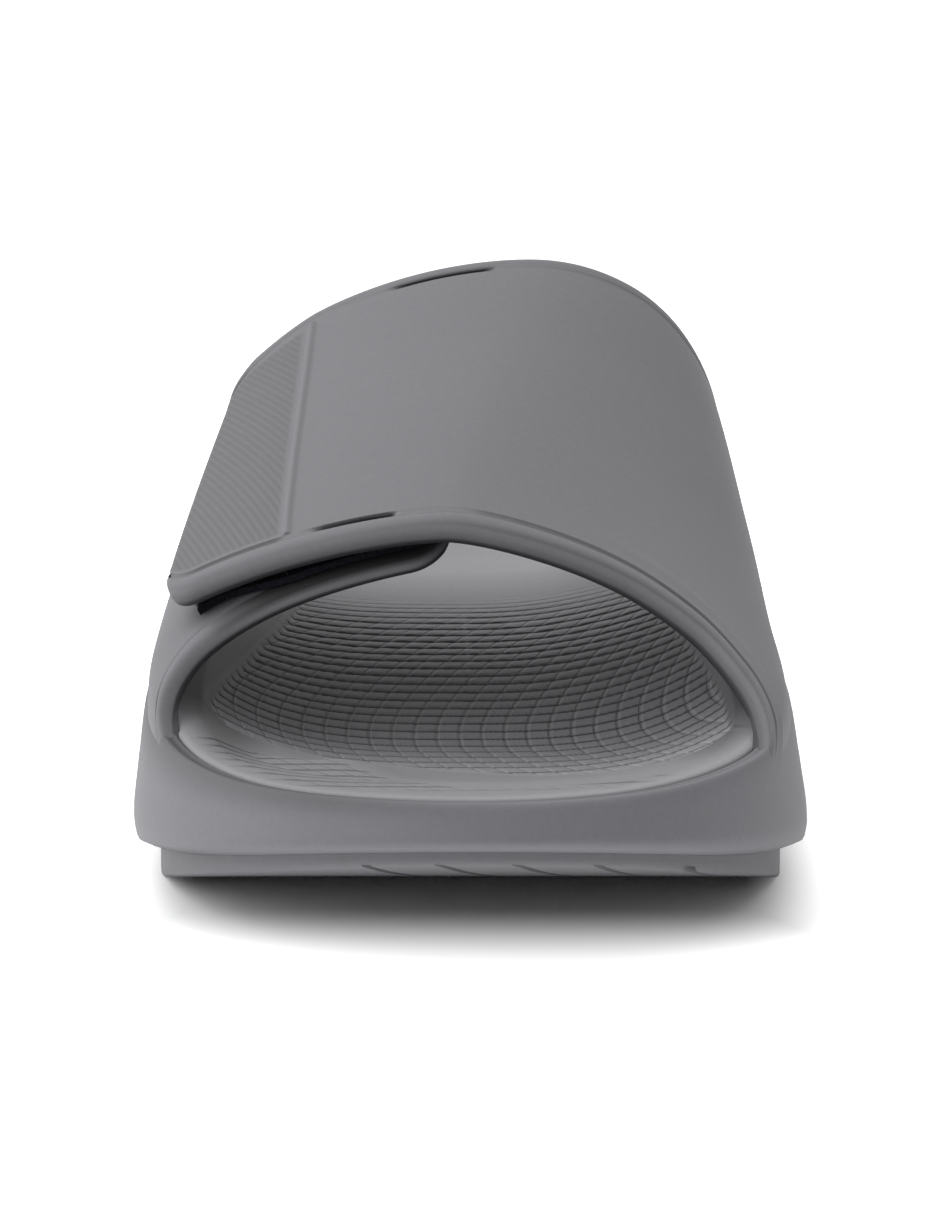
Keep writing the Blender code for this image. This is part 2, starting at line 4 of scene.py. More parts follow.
import bpy
import numpy as np
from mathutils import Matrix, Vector

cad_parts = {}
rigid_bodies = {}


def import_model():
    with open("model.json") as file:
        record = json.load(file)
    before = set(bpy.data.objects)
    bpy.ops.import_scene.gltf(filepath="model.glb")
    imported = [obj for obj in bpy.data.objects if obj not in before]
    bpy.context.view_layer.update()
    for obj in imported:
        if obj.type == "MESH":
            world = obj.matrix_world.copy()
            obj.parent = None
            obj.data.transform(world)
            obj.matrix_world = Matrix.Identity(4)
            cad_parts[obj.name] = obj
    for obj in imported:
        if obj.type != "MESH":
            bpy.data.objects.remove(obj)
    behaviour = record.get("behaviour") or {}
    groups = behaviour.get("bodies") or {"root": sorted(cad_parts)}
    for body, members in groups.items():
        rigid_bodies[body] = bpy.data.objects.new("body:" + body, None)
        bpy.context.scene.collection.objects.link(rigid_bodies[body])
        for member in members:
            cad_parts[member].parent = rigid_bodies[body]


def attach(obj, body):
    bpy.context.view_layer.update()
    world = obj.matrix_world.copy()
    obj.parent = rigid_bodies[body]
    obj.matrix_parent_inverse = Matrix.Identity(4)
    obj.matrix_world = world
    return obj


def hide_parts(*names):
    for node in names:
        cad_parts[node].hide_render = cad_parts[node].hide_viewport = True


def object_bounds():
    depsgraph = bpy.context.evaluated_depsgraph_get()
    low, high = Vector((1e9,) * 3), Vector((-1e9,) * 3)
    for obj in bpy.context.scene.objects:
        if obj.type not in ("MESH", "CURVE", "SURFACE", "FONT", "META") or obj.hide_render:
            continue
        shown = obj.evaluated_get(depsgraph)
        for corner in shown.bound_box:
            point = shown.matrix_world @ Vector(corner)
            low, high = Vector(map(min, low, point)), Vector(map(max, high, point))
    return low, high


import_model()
cadLow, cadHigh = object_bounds()
rng = np.random.default_rng(7)
millimetre = 0.001

shoe = {
    "length": cadHigh.y - cadLow.y,
    "ballWidth": 0.116,
    "toeSpring": 0.0205,
    "rimHeight": 0.0475,
    "bedHeight": 0.0333,
    "instep": 0.0958,
    "gap": 0.0003,
    "rimBlend": 0.3,  # share of the width over which the two rims' heights blend
    "lean": 0.0036,  # how far the wall leans in at the rim, times the rows' lean shares
}

# Plan and heights from toe to heel, as shares of the sizes above.
# Tread is a share of the outsole's thickness.
soleColumns = "along medial lateral lift tread rimMedial rimLateral bed leanMedial leanLateral"
soleRows = [
    (0.000, 0.020, 0.020, 1.000, 0.34, 0.625, 0.625, 0.870, 1.00, 1.00),
    (0.012, 0.180, -0.145, 0.955, 0.34, 0.624, 0.623, 0.869, 1.00, 1.00),
    (0.035, 0.278, -0.258, 0.860, 0.37, 0.624, 0.618, 0.867, 0.95, 0.95),
    (0.075, 0.368, -0.355, 0.690, 0.46, 0.627, 0.612, 0.845, 0.85, 0.85),
    (0.130, 0.438, -0.428, 0.475, 0.62, 0.637, 0.621, 0.765, 0.75, 0.75),
    (0.200, 0.482, -0.476, 0.230, 0.82, 0.660, 0.644, 0.675, 0.95, 0.80),
    (0.280, 0.498, -0.497, 0.000, 0.97, 0.698, 0.678, 0.655, 1.35, 0.95),
    (0.350, 0.496, -0.499, 0.000, 1.00, 0.748, 0.715, 0.725, 1.60, 1.15),
    (0.440, 0.477, -0.490, 0.000, 1.00, 0.825, 0.775, 0.890, 1.40, 1.30),
    (0.520, 0.452, -0.474, 0.070, 1.00, 0.890, 0.830, 0.990, 1.20, 1.25),
    (0.600, 0.428, -0.450, 0.070, 1.00, 0.935, 0.880, 1.000, 1.10, 1.15),
    (0.680, 0.408, -0.425, 0.000, 1.00, 0.962, 0.920, 0.935, 1.05, 1.05),
    (0.780, 0.392, -0.402, 0.000, 1.00, 0.980, 0.955, 0.870, 1.00, 1.00),
    (0.870, 0.362, -0.370, 0.000, 1.00, 0.992, 0.985, 0.860, 1.00, 1.00),
    (0.940, 0.285, -0.297, 0.045, 1.00, 1.000, 1.000, 0.930, 1.00, 1.00),
    (0.982, 0.165, -0.185, 0.160, 1.00, 1.000, 1.000, 1.100, 1.00, 1.00),
    (1.000, -0.010, -0.010, 0.270, 1.00, 1.000, 1.000, 1.220, 1.00, 1.00),
]

# The instep over the last: its height as a share of the instep, its crown as a share of the width,
# and how square each shoulder is.
vaultColumns = "along height crown powerMedial powerLateral"
vaultRows = [
    (0.120, 0.490, -0.030, 1.60, 1.60),
    (0.260, 0.648, -0.026, 1.60, 1.60),
    (0.360, 0.770, 0.005, 1.68, 1.68),
    (0.460, 0.888, 0.045, 1.95, 1.80),
    (0.552, 1.000, 0.074, 2.25, 1.90),
    (0.640, 1.075, 0.085, 2.35, 1.90),
]


# Smooth readers of the tables

def curveThrough(keys, values):
    keys = np.array(keys, float)
    values = np.array(values, float)
    steps = np.diff(values) / np.diff(keys)
    product = steps[:-1] * steps[1:]
    total = steps[:-1] + steps[1:]
    inner = np.where(product > 0, 2 * product / np.where(total == 0, 1, total), 0)
    return cubicReader(keys, values, np.concatenate([steps[:1], inner, steps[-1:]]))


def cubicReader(keys, values, slopes):
    def at(x):
        i = np.clip(np.searchsorted(keys, x, side="right") - 1, 0, len(keys) - 2)
        span = keys[i + 1] - keys[i]
        t = np.clip((x - keys[i]) / span, 0, 1)
        start = t * (1 - t) ** 2 * span * slopes[i]
        end = t * t * (t - 1) * span * slopes[i + 1]
        return values[i] + (values[i + 1] - values[i]) * t * t * (3 - 2 * t) + start + end
    return at


def tableReaders(columns, rows):
    names = columns.split()
    data = list(zip(*rows))
    return {name: curveThrough(data[0], data[i + 1]) for i, name in enumerate(names[1:])}


def planReader():
    along, medial, lateral = (np.array(c) for c in list(zip(*soleRows))[:3])
    angles = np.arccos(1 - 2 * along)
    turn = np.concatenate([angles, 2 * math.pi - angles[-2::-1]])
    edge = np.concatenate([medial, lateral[-2::-1]])
    count = len(turn) - 1
    before = (np.arange(count + 1) - 1) % count
    after = (np.arange(count + 1) + 1) % count
    slopes = (edge[after] - edge[before]) / ((turn[after] - turn[before]) % (2 * math.pi))
    reader = cubicReader(turn, edge, slopes)
    return lambda angle: reader(np.mod(angle, 2 * math.pi))


sole = tableReaders(soleColumns, soleRows)
vault = tableReaders(vaultColumns, vaultRows)
planX = planReader()


def alongOf(y):
    return np.clip(y / shoe["length"] + 0.5, 0, 1)


def sideX(y, side):
    angle = np.arccos(1 - 2 * alongOf(y))
    return shoe["ballWidth"] * planX(angle if side > 0 else 2 * math.pi - angle)


def floorZ(y):
    return shoe["toeSpring"] * sole["lift"](alongOf(y))


def acrossBlend(x, y, name):
    # what the table says for each side, blended over the middle of the foot
    along = alongOf(y)
    share = np.clip(x / (shoe["rimBlend"] * shoe["ballWidth"]) + 0.5, 0, 1)
    low, high = sole[name + "Lateral"](along), sole[name + "Medial"](along)
    return low + (high - low) * share


def rimZ(x, y):
    return shoe["rimHeight"] * acrossBlend(x, y, "rim")


def leanAt(x, y):
    return shoe["lean"] * acrossBlend(x, y, "lean")


def outline(angles, inset, lean):
    # plan points at the turning angles, moved inward by the inset and a share of the wall's lean
    def at(a):
        return np.stack([shoe["ballWidth"] * planX(a), -shoe["length"] / 2 * np.cos(a)], -1)
    step = 0.05
    tangent = at(angles + step) - at(angles - step)
    tangent /= np.linalg.norm(tangent, axis=1)[:, None]
    start = at(angles)
    depth = inset + lean * leanAt(start[:, 0], start[:, 1])
    return start + depth[:, None] * np.stack([-tangent[:, 1], tangent[:, 0]], -1)


def bump(distance, half):
    # a soft ridge of height 1 and the given half-width
    return np.where(np.abs(distance) < half, 0.5 + 0.5 * np.cos(math.pi * distance / half), 0.0)


def rampUp(value, low, high):
    t = np.clip((value - low) / (high - low), 0, 1)
    return t * t * (3 - 2 * t)


# Mesh helpers

def loftFaces(ringCount, ringSize):
    start = np.arange(ringCount - 1)[:, None] * ringSize
    here = np.arange(ringSize)[None, :]
    after = (here + 1) % ringSize
    corners = [start + here, start + after, start + after + ringSize, start + here + ringSize]
    return np.stack(corners, -1).reshape(-1, 4)


def capFaces(first, size, flip):
    # strips across a sole ring, from the medial side to the lateral side
    faces = []
    for i in range(size // 2):
        corners = list(dict.fromkeys([i, i + 1, (size - i - 1) % size, (size - i) % size]))
        faces.append([first + c for c in (corners[::-1] if flip else corners)])
    return faces


def endFaces(ring, outerCount, flip):
    # a strap's end: triangles between its outer row and its inner row, front to back
    upper = list(range(outerCount))
    lower = list(range(len(ring) - 1, outerCount - 1, -1))
    faces = []
    i = j = 0
    while i < len(upper) - 1 or j < len(lower) - 1:
        upperNext = ring[upper[i + 1], 1] if i < len(upper) - 1 else math.inf
        lowerNext = ring[lower[j + 1], 1] if j < len(lower) - 1 else math.inf
        if upperNext <= lowerNext:
            corners = [upper[i], upper[i + 1], lower[j]]
            i += 1
        else:
            corners = [upper[i], lower[j + 1], lower[j]]
            j += 1
        faces.append(corners[::-1] if flip else corners)
    return faces


def stripFaces(sections, outerCount):
    # the walls between a strap's sections, closed at both ends
    size = len(sections[0])
    last = (len(sections) - 1) * size
    faces = loftFaces(len(sections), size).tolist() + endFaces(sections[0], outerCount, True)
    return faces + [[last + i for i in f] for f in endFaces(sections[-1], outerCount, False)]


def outwardFaces(points, faces):
    # turn the faces round if the closed mesh is inside out
    corners = np.array([list(f) if len(f) == 4 else [*f, f[-1]] for f in faces])
    a, b, c, d = (points[corners[:, i]] for i in range(4))
    volume = (a * (np.cross(b, c) + np.cross(c, d))).sum()
    return [list(f) for f in faces] if volume > 0 else [list(f)[::-1] for f in faces]


def addPiece(name, points, faces, material, nodes=(), sharpAngle=50):
    mesh = bpy.data.meshes.new(name)
    mesh.from_pydata(points.tolist(), [], outwardFaces(points, faces))
    mesh.shade_smooth()
    mesh.set_sharp_from_angle(angle=math.radians(sharpAngle))
    mesh.materials.append(material)
    piece = bpy.data.objects.new(name, mesh)
    bpy.context.collection.objects.link(piece)
    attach(piece, "root")
    if nodes:
        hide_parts(*nodes)
    print(f"{name}: {len(mesh.polygons)} faces")
    return piece


def addSole(name, rings, material, node, sharpAngle=50):
    # a solid through rings of the sole, closed below the first one and above the last
    size = len(rings[0])
    faces = loftFaces(len(rings), size).tolist()
    faces += capFaces(0, size, True) + capFaces(size * (len(rings) - 1), size, False)
    return addPiece(name, np.concatenate(rings), faces, material, [node], sharpAngle)


def paint(piece, name, values):
    # one value a point, which the material reads by the attribute's name
    attribute = piece.data.attributes.new(name, "FLOAT", "POINT")
    attribute.data.foreach_set("value", np.asarray(values, np.float32).ravel())


# Materials

def newGroup(name, inputs, outputs):
    group = bpy.data.node_groups.new(name, "ShaderNodeTree")
    for label, kind, value in inputs:
        socket = group.interface.new_socket(name=label, in_out="INPUT", socket_type=kind)
        socket.default_value = value
    for label, kind in outputs:
        group.interface.new_socket(name=label, in_out="OUTPUT", socket_type=kind)
    inNode = group.nodes.new("NodeGroupInput")
    outNode = group.nodes.new("NodeGroupOutput")
    return group, inNode, outNode


def feed(tree, value, socket):
    # a number is set on the socket itself, and an output is linked to it
    if isinstance(value, (int, float)):
        socket.default_value = value
    else:
        tree.links.new(value, socket)


def mathNode(tree, operation, a, b=None):
    node = tree.nodes.new("ShaderNodeMath")
    node.operation = operation
    feed(tree, a, node.inputs[0])
    if b is not None:
        feed(tree, b, node.inputs[1])
    return node.outputs[0]


def add(tree, a, b):
    return mathNode(tree, "ADD", a, b)


def subtract(tree, a, b):
    return mathNode(tree, "SUBTRACT", a, b)


def multiply(tree, a, b):
    return mathNode(tree, "MULTIPLY", a, b)


def noiseNode(tree, vector, scale, detail=3.0, roughness=0.55):
    node = tree.nodes.new("ShaderNodeTexNoise")
    tree.links.new(vector, node.inputs["Vector"])
    feed(tree, scale, node.inputs["Scale"])
    node.inputs["Detail"].default_value = detail
    node.inputs["Roughness"].default_value = roughness
    return node.outputs["Fac"]


def bumpNode(tree, height, strength, distance):
    node = tree.nodes.new("ShaderNodeBump")
    node.inputs["Strength"].default_value = strength
    node.inputs["Distance"].default_value = distance
    tree.links.new(height, node.inputs["Height"])
    return node


def groupNode(tree, group):
    node = tree.nodes.new("ShaderNodeGroup")
    node.node_tree = group
    return node


def attributeNode(tree, name):
    node = tree.nodes.new("ShaderNodeAttribute")
    node.attribute_name = name
    return node.outputs["Fac"]


def newMaterial(name, specular):
    material = bpy.data.materials.new(name)
    material.use_nodes = True
    shader = material.node_tree.nodes["Principled BSDF"]
    shader.inputs["Specular IOR Level"].default_value = specular
    return material, material.node_tree, shader


foam = {
    "mottleScale": 28.0,
    "poreScale": 1.3,  # as a multiple of the grain size
    "fineHeight": 0.6,
    "poreHeight": 0.4,
    "speck": 0.16,
    "roughness": 0.56,
    "roughSwing": 0.16,
    "reliefStrength": 0.6,
    "specular": 0.35,
}


def buildFoamSkin():
    # moulded foam: a pebbled skin with fine pores, slow mottling and rubbed high spots, with painted shade
    # (and painted light where negative) from the Shade input
    tree, inNode, outNode = newGroup("foamSkin", [
        ("Color", "NodeSocketColor", (0.2, 0.2, 0.21, 1)),
        ("Grain Size", "NodeSocketFloat", 900.0),
        ("Mottle", "NodeSocketFloat", 0.08),
        ("Shade", "NodeSocketFloat", 0.0),
    ], [
        ("Color", "NodeSocketColor"),
        ("Height", "NodeSocketFloat"),
        ("Roughness", "NodeSocketFloat"),
    ])
    where = tree.nodes.new("ShaderNodeTexCoord").outputs["Object"]
    slow = noiseNode(tree, where, foam["mottleScale"], 4.0, 0.6)
    fine = noiseNode(tree, where, inNode.outputs["Grain Size"], 2.0, 0.5)
    pores = tree.nodes.new("ShaderNodeTexVoronoi")
    tree.links.new(where, pores.inputs["Vector"])
    tree.links.new(multiply(tree, inNode.outputs["Grain Size"], foam["poreScale"]), pores.inputs["Scale"])
    pebble = multiply(tree, subtract(tree, 1.0, pores.outputs["Distance"]), foam["poreHeight"])
    height = add(tree, multiply(tree, fine, foam["fineHeight"]), pebble)
    swing = multiply(tree, subtract(tree, slow, 0.5), inNode.outputs["Mottle"])
    speck = multiply(tree, subtract(tree, fine, 0.5), foam["speck"])
    bright = add(tree, 1.0, add(tree, swing, speck))
    # painted shade darkens the colour, and a negative Shade is painted light that brightens it
    bright = multiply(tree, bright, subtract(tree, 1.0, inNode.outputs["Shade"]))
    scaled = tree.nodes.new("ShaderNodeVectorMath")
    scaled.operation = "SCALE"
    tree.links.new(inNode.outputs["Color"], scaled.inputs[0])
    tree.links.new(bright, scaled.inputs["Scale"])
    tree.links.new(scaled.outputs[0], outNode.inputs["Color"])
    tree.links.new(height, outNode.inputs["Height"])
    rough = add(tree, foam["roughness"], multiply(tree, slow, foam["roughSwing"]))
    tree.links.new(rough, outNode.inputs["Roughness"])
    return tree


def waveDistance(tree, value, pitch):
    # distance from a value to the middle of the nearest gap in a row of equal tiles
    share = mathNode(tree, "FRACT", mathNode(tree, "DIVIDE", value, pitch))
    return multiply(tree, mathNode(tree, "ABSOLUTE", subtract(tree, share, 0.5)), pitch)


def stepDown(tree, value, low, high):
    # 1 below the low value, 0 above the high one
    node = tree.nodes.new("ShaderNodeMapRange")
    node.interpolation_type = "SMOOTHSTEP"
    for label, number in (("From Min", low), ("From Max", high), ("To Min", 1.0), ("To Max", 0.0)):
        node.inputs[label].default_value = number
    tree.links.new(value, node.inputs["Value"])
    return node.outputs["Result"]


tileEdges = {
    "shift": 0.00045,  # from the middle of a groove to the edge that catches the light
    "rowFade": (0.06, 0.19),  # where a groove starts to fade and where it ends, as shares of a row
    "columnFade": (0.00008, 0.00030),
}


def buildTileLines():
    # the footbed's tiles: grooves across the foot, and bowed, finer grooves along it
    tree, inNode, outNode = newGroup("tileLines", [
        ("Row Density", "NodeSocketFloat", 369.0),
        ("Row Spread", "NodeSocketFloat", 1050.0),
        ("Toe Start", "NodeSocketFloat", -0.09),
        ("Toe Density", "NodeSocketFloat", 222.0),
        ("Column Pitch", "NodeSocketFloat", 0.0039),
        ("Bow", "NodeSocketFloat", 0.05),
        ("Bow Middle", "NodeSocketFloat", -0.054),
    ], [
        ("Row Mask", "NodeSocketFloat"),
        ("Column Mask", "NodeSocketFloat"),
        ("Edge Mask", "NodeSocketFloat"),
    ])
    where = tree.nodes.new("ShaderNodeSeparateXYZ")
    tree.links.new(tree.nodes.new("ShaderNodeTexCoord").outputs["Object"], where.inputs[0])
    x, y = where.outputs["X"], where.outputs["Y"]
    bow = inNode.outputs["Bow"]
    off = subtract(tree, y, inNode.outputs["Bow Middle"])
    far = mathNode(tree, "SQRT", add(tree, multiply(tree, bow, bow), multiply(tree, off, off)))
    bowed = subtract(tree, x, subtract(tree, far, bow))
    toeStart = inNode.outputs["Toe Start"]
    behind = mathNode(tree, "MAXIMUM", y, toeStart)
    ahead = mathNode(tree, "MINIMUM", subtract(tree, y, toeStart), 0.0)
    spread = multiply(tree, multiply(tree, behind, behind), inNode.outputs["Row Spread"])
    rowCount = add(tree, multiply(tree, behind, inNode.outputs["Row Density"]), spread)
    rowCount = add(tree, rowCount, multiply(tree, ahead, inNode.outputs["Toe Density"]))
    pitch = inNode.outputs["Column Pitch"]
    rowGap = waveDistance(tree, rowCount, 1.0)
    columnGap = waveDistance(tree, bowed, pitch)
    edgeGap = waveDistance(tree, subtract(tree, bowed, tileEdges["shift"]), pitch)
    for gap, fade, mask in ((rowGap, "rowFade", "Row Mask"), (columnGap, "columnFade", "Column Mask"),
                            (edgeGap, "columnFade", "Edge Mask")):
        tree.links.new(stepDown(tree, gap, *tileEdges[fade]), outNode.inputs[mask])
    return tree


def buildRibLines():
    # fine ribs from a painted count of ribs: 1 on a rib's top, 0 between two ribs
    group, inNode, outNode = newGroup("ribLines", [("Count", "NodeSocketFloat", 0.0)],
                                      [("Rib Mask", "NodeSocketFloat")])
    turn = multiply(group, inNode.outputs["Count"], 2 * math.pi)
    wave = multiply(group, mathNode(group, "SINE", turn), 0.5)
    group.links.new(add(group, wave, 0.5), outNode.inputs["Rib Mask"])
    return group


foamSkin = buildFoamSkin()
tileLines = buildTileLines()
ribLines = buildRibLines()


def foamMaterial(name, color, grainSize, mottle, bumpDepth, roughShift=0.0, lines=None):
    # lines adds a pattern: a function that returns its painted shade, its height and the height's depth
    material, tree, shader = newMaterial(name, foam["specular"])
    skin = groupNode(tree, foamSkin)
    skin.inputs["Color"].default_value = (*color, 1)
    skin.inputs["Grain Size"].default_value = grainSize
    skin.inputs["Mottle"].default_value = mottle
    # painted shade, and painted light where negative, from the points' shade attribute
    shade = attributeNode(tree, "shade")
    relief = bumpNode(tree, skin.outputs["Height"], foam["reliefStrength"], bumpDepth)
    if lines:
        darker, height, depth = lines(tree)
        shade = add(tree, shade, darker)
        pattern = bumpNode(tree, height, 1.0, depth)
        tree.links.new(pattern.outputs["Normal"], relief.inputs["Normal"])
    tree.links.new(shade, skin.inputs["Shade"])
    tree.links.new(skin.outputs["Color"], shader.inputs["Base Color"])
    tree.links.new(add(tree, skin.outputs["Roughness"], roughShift), shader.inputs["Roughness"])
    tree.links.new(relief.outputs["Normal"], shader.inputs["Normal"])
    return material


def tilePattern(tree):
    group = groupNode(tree, tileLines)
    for label, key in (("Row Density", "rowDensity"), ("Row Spread", "rowSpread"), ("Toe Start", "toeStart"),
                       ("Toe Density", "toeDensity"), ("Column Pitch", "tileColumn"), ("Bow", "bow"),
                       ("Bow Middle", "bowMiddle")):
        group.inputs[label].default_value = footbed[key]
    panel = attributeNode(tree, "tiles")
    rowMask, columnMask = group.outputs["Row Mask"], group.outputs["Column Mask"]
    toeColumns = multiply(tree, attributeNode(tree, "toeTiles"), footbed["toeColumnShade"])
    column = multiply(tree, columnMask, add(tree, toeColumns, footbed["columnShade"]))
    edge = multiply(tree, group.outputs["Edge Mask"], footbed["edgeShine"])
    # painted shade in the tile grooves, less a painted highlight on the column edges that catch the light
    grooves = mathNode(tree, "MAXIMUM", multiply(tree, rowMask, footbed["rowShade"]), column)
    darker = multiply(tree, subtract(tree, grooves, edge), panel)
    deep = mathNode(tree, "MAXIMUM", rowMask, multiply(tree, columnMask, footbed["columnBump"]))
    return darker, multiply(tree, multiply(tree, deep, panel), -1.0), footbed["bumpDepth"]


def ribPattern(tree):
    group = groupNode(tree, ribLines)
    tree.links.new(attributeNode(tree, "ribCount"), group.inputs["Count"])
    panel = attributeNode(tree, "ribs")
    ribMask = group.outputs["Rib Mask"]
    # painted shade between the grip ribs
    darker = multiply(tree, multiply(tree, subtract(tree, 1.0, ribMask), panel), grip["shade"])
    return darker, multiply(tree, ribMask, panel), grip["bumpDepth"]


fabric = {
    "fuzzScale": 1400.0,
    "dark": (0.35, 0.4),  # where on the ramp of the fuzz, and the share of the colour there
    "pale": (0.70, 1.8),
    "bumpDepth": 0.0004,
    "roughness": 0.9,
    "specular": 0.15,
}


def tapeMaterial(name, color):
    material, tree, shader = newMaterial(name, fabric["specular"])
    where = tree.nodes.new("ShaderNodeTexCoord").outputs["Object"]
    fuzz = noiseNode(tree, where, fabric["fuzzScale"], 4.0, 0.7)
    ramp = tree.nodes.new("ShaderNodeValToRGB")
    for stop, (place, share) in zip(ramp.color_ramp.elements, (fabric["dark"], fabric["pale"])):
        stop.position = place
        stop.color = (*[c * share for c in color], 1)
    relief = bumpNode(tree, fuzz, 1.0, fabric["bumpDepth"])
    tree.links.new(fuzz, ramp.inputs["Fac"])
    tree.links.new(ramp.outputs["Color"], shader.inputs["Base Color"])
    tree.links.new(relief.outputs["Normal"], shader.inputs["Normal"])
    shader.inputs["Roughness"].default_value = fabric["roughness"]
    return material


# The footbed's and the grip panel's sizes

footbed = {
    "lip": 0.0022,
    "shoulder": 0.0030,
    "power": 3.6,
    "archPower": 2.1,
    "archStart": 0.25,
    "archEnd": 0.75,
    "spineShare": 0.72,
    "rings": 92,
    "ringEnd": 0.6,  # ring steps left free at both ends
    "rowDensity": 369.0,  # tile rows a metre at y = 0, and how fast they spread toward the toe
    "rowSpread": 1050.0,
    "toeStart": -0.090,
    "toeDensity": 222.0,
    "tileColumn": 0.0039,
    "rowGroove": 0.22,  # half-widths of the grooves between tiles, as a share of a row and in metres
    "columnGroove": 0.00045,
    "rowDepth": 0.00035,
    "columnDepth": 0.00012,
    "grooveFlat": 0.35,  # share of a groove's half-width that is its bottom
    "columnBump": 0.6,
    "bumpDepth": 0.00035,
    "rowShade": 0.86,
    "columnShade": 0.08,
    "toeColumnShade": 1.0,
    "edgeShine": 0.30,
    "bow": 0.050,  # radius of the bowed tile columns
    "bowMiddle": -0.054,
    "panelDrop": 0.0005,
    "panelShade": -0.16,
    "backShine": 0.42,
    "shineFrom": -0.060,  # painted light: behind this y the panel goes paler, up to y = 0
    "toeShade": 0.20,
    "toeShadeFrom": (0.080, 0.105),
    "hollowShade": 0.60,
    "hollowSide": (0.031, 0.041),  # painted shade in the hollow beside the panel, out from the middle
    "hollowAt": -0.080,
    "hollowHalf": 0.040,
    "panelEdge": 0.0008,
    "borderAt": -0.0006,  # the raised border round the panel, with a painted highlight on it
    "borderHalf": 0.0011,
    "borderRise": 0.0002,
    "borderShine": 0.16,
    "panelBack": 0.016,
    "panelFade": 0.030,
}
grip = {
    "pitch": 0.00105,
    "drop": 0.00012,
    "bumpDepth": 0.00009,
    "shade": 0.12,
    "slantBack": 0.54,  # ribs' slope along the strap, at its back edge and at its front edge
    "slantFront": 0.235,
    "slantFrom": -0.070,
    "slantSpan": 0.078,
    "aroundShare": 0.9,
    "tipFade": 0.001,
    "edgeFade": (0.0008, 0.0020),
    "turnPast": 0.02,
    "beadHalf": 0.0009,
    "beadHeight": 0.00048,
    "arc": math.pi * shoe["ballWidth"] * 0.5,
    "columns": 110,
    "plainColumns": 110,
    "rows": 150,
}

bodyFoam = foamMaterial("bodyFoam", (0.112, 0.112, 0.122), 950.0, 0.10, 0.00005)
strapFoam = foamMaterial("strapFoam", (0.118, 0.118, 0.127), 950.0, 0.10, 0.00005, 0.0, ribPattern)
bedFoam = foamMaterial("bedFoam", (0.185, 0.185, 0.193), 1100.0, 0.10, 0.00004, 0.04, tilePattern)
treadRubber = foamMaterial("treadRubber", (0.098, 0.098, 0.106), 700.0, 0.12, 0.00006, 0.05)
closureTape = tapeMaterial("closureTape", (0.005, 0.005, 0.008))
print("materials made")

# The sole's stations: close together where the tile panels need them
stations = {
    "toeSteps": 26,
    "panelFrom": 0.030,
    "panelTo": 0.545,
    "panelSteps": 250,
    "heelSteps": 84,
}


def stationAngles():
    first = math.acos(1 - 2 * stations["panelFrom"])
    last = math.acos(1 - 2 * stations["panelTo"])
    toe = np.linspace(0, first, stations["toeSteps"], endpoint=False)
    shares = np.linspace(stations["panelFrom"], stations["panelTo"], stations["panelSteps"], endpoint=False)
    heel = np.linspace(last, math.pi, stations["heelSteps"])
    medial = np.concatenate([toe, np.arccos(1 - 2 * shares), heel])
    return np.concatenate([medial, 2 * math.pi - medial[-2:0:-1]])


ringAngles = stationAngles()


def ringAt(inset, height, lean=0.0, angles=ringAngles):
    flat = outline(angles, inset, lean)
    return np.column_stack([flat, height(flat[:, 0], flat[:, 1])])


# Outsole

outsole = {
    "thick": 0.0052,
    "inset": 0.0046,
    "chamferRows": ((2.2, 0.0), (1.0, 0.0), (0.3, 0.3), (0.0, 1.0)),  # in and up, as shares of the chamfer
    "chamfer": 0.0007,
    "wallUp": 0.6,
    "sharpAngle": 35,
    "angleStep": 3,
    "grooveWidth": 0.0022,
    "grooveDepth": 0.0015,
    "groovePitch": 0.0124,
    "grooveAngle": math.radians(78),
    "grooveSteps": 60,
    "frontMedial": -0.160,  # where the grooves run out toward the toe
    "frontLateral": -0.052,
    "fadeMedial": 0.052,
    "fadeLateral": 0.030,
    "cutterWide": 1.3,  # the cutter's width below the sole and at its top, as shares of the groove's
    "cutterNarrow": 0.7,
    "fadeBelow": 0.5,
}


def midsoleBase(x, y):
    return floorZ(y) + outsole["thick"] * sole["tread"](alongOf(y)) + shoe["gap"]


def grooveCutter(offset):
    # a bent bar that follows the underside, with walls that lean a little
    direction = np.array([math.cos(outsole["grooveAngle"]), math.sin(outsole["grooveAngle"])])
    side = np.array([-direction[1], direction[0]]) * outsole["grooveWidth"] / 2
    start, reach = outsole["frontMedial"], outsole["fadeMedial"]
    if offset <= 0:
        start, reach = outsole["frontLateral"], outsole["fadeLateral"]
    y = np.linspace(start, shoe["length"] / 2, outsole["grooveSteps"])
    middle = np.array([offset, 0.0]) + (y / direction[1])[:, None] * direction
    z = floorZ(y)
    depth = outsole["grooveDepth"]
    fade = np.minimum(1, (y - start) / reach)
    top = z + depth * ((1 + outsole["fadeBelow"]) * fade - outsole["fadeBelow"])
    wide, narrow, below = outsole["cutterWide"], outsole["cutterNarrow"], z - 2 * depth
    rows = []
    for across, height in ((-wide, below), (wide, below), (narrow, top), (-narrow, top)):
        rows.append(np.column_stack([middle + side * across, height]))
    points = np.stack(rows, 1).reshape(-1, 3)
    faces = loftFaces(outsole["grooveSteps"], 4).tolist()
    last = len(points) - 4
    faces += [[3, 2, 1, 0], [last, last + 1, last + 2, last + 3]]
    mesh = bpy.data.meshes.new("grooveCutter")
    mesh.from_pydata(points.tolist(), [], outwardFaces(points, faces))
    return bpy.data.objects.new("grooveCutter", mesh)


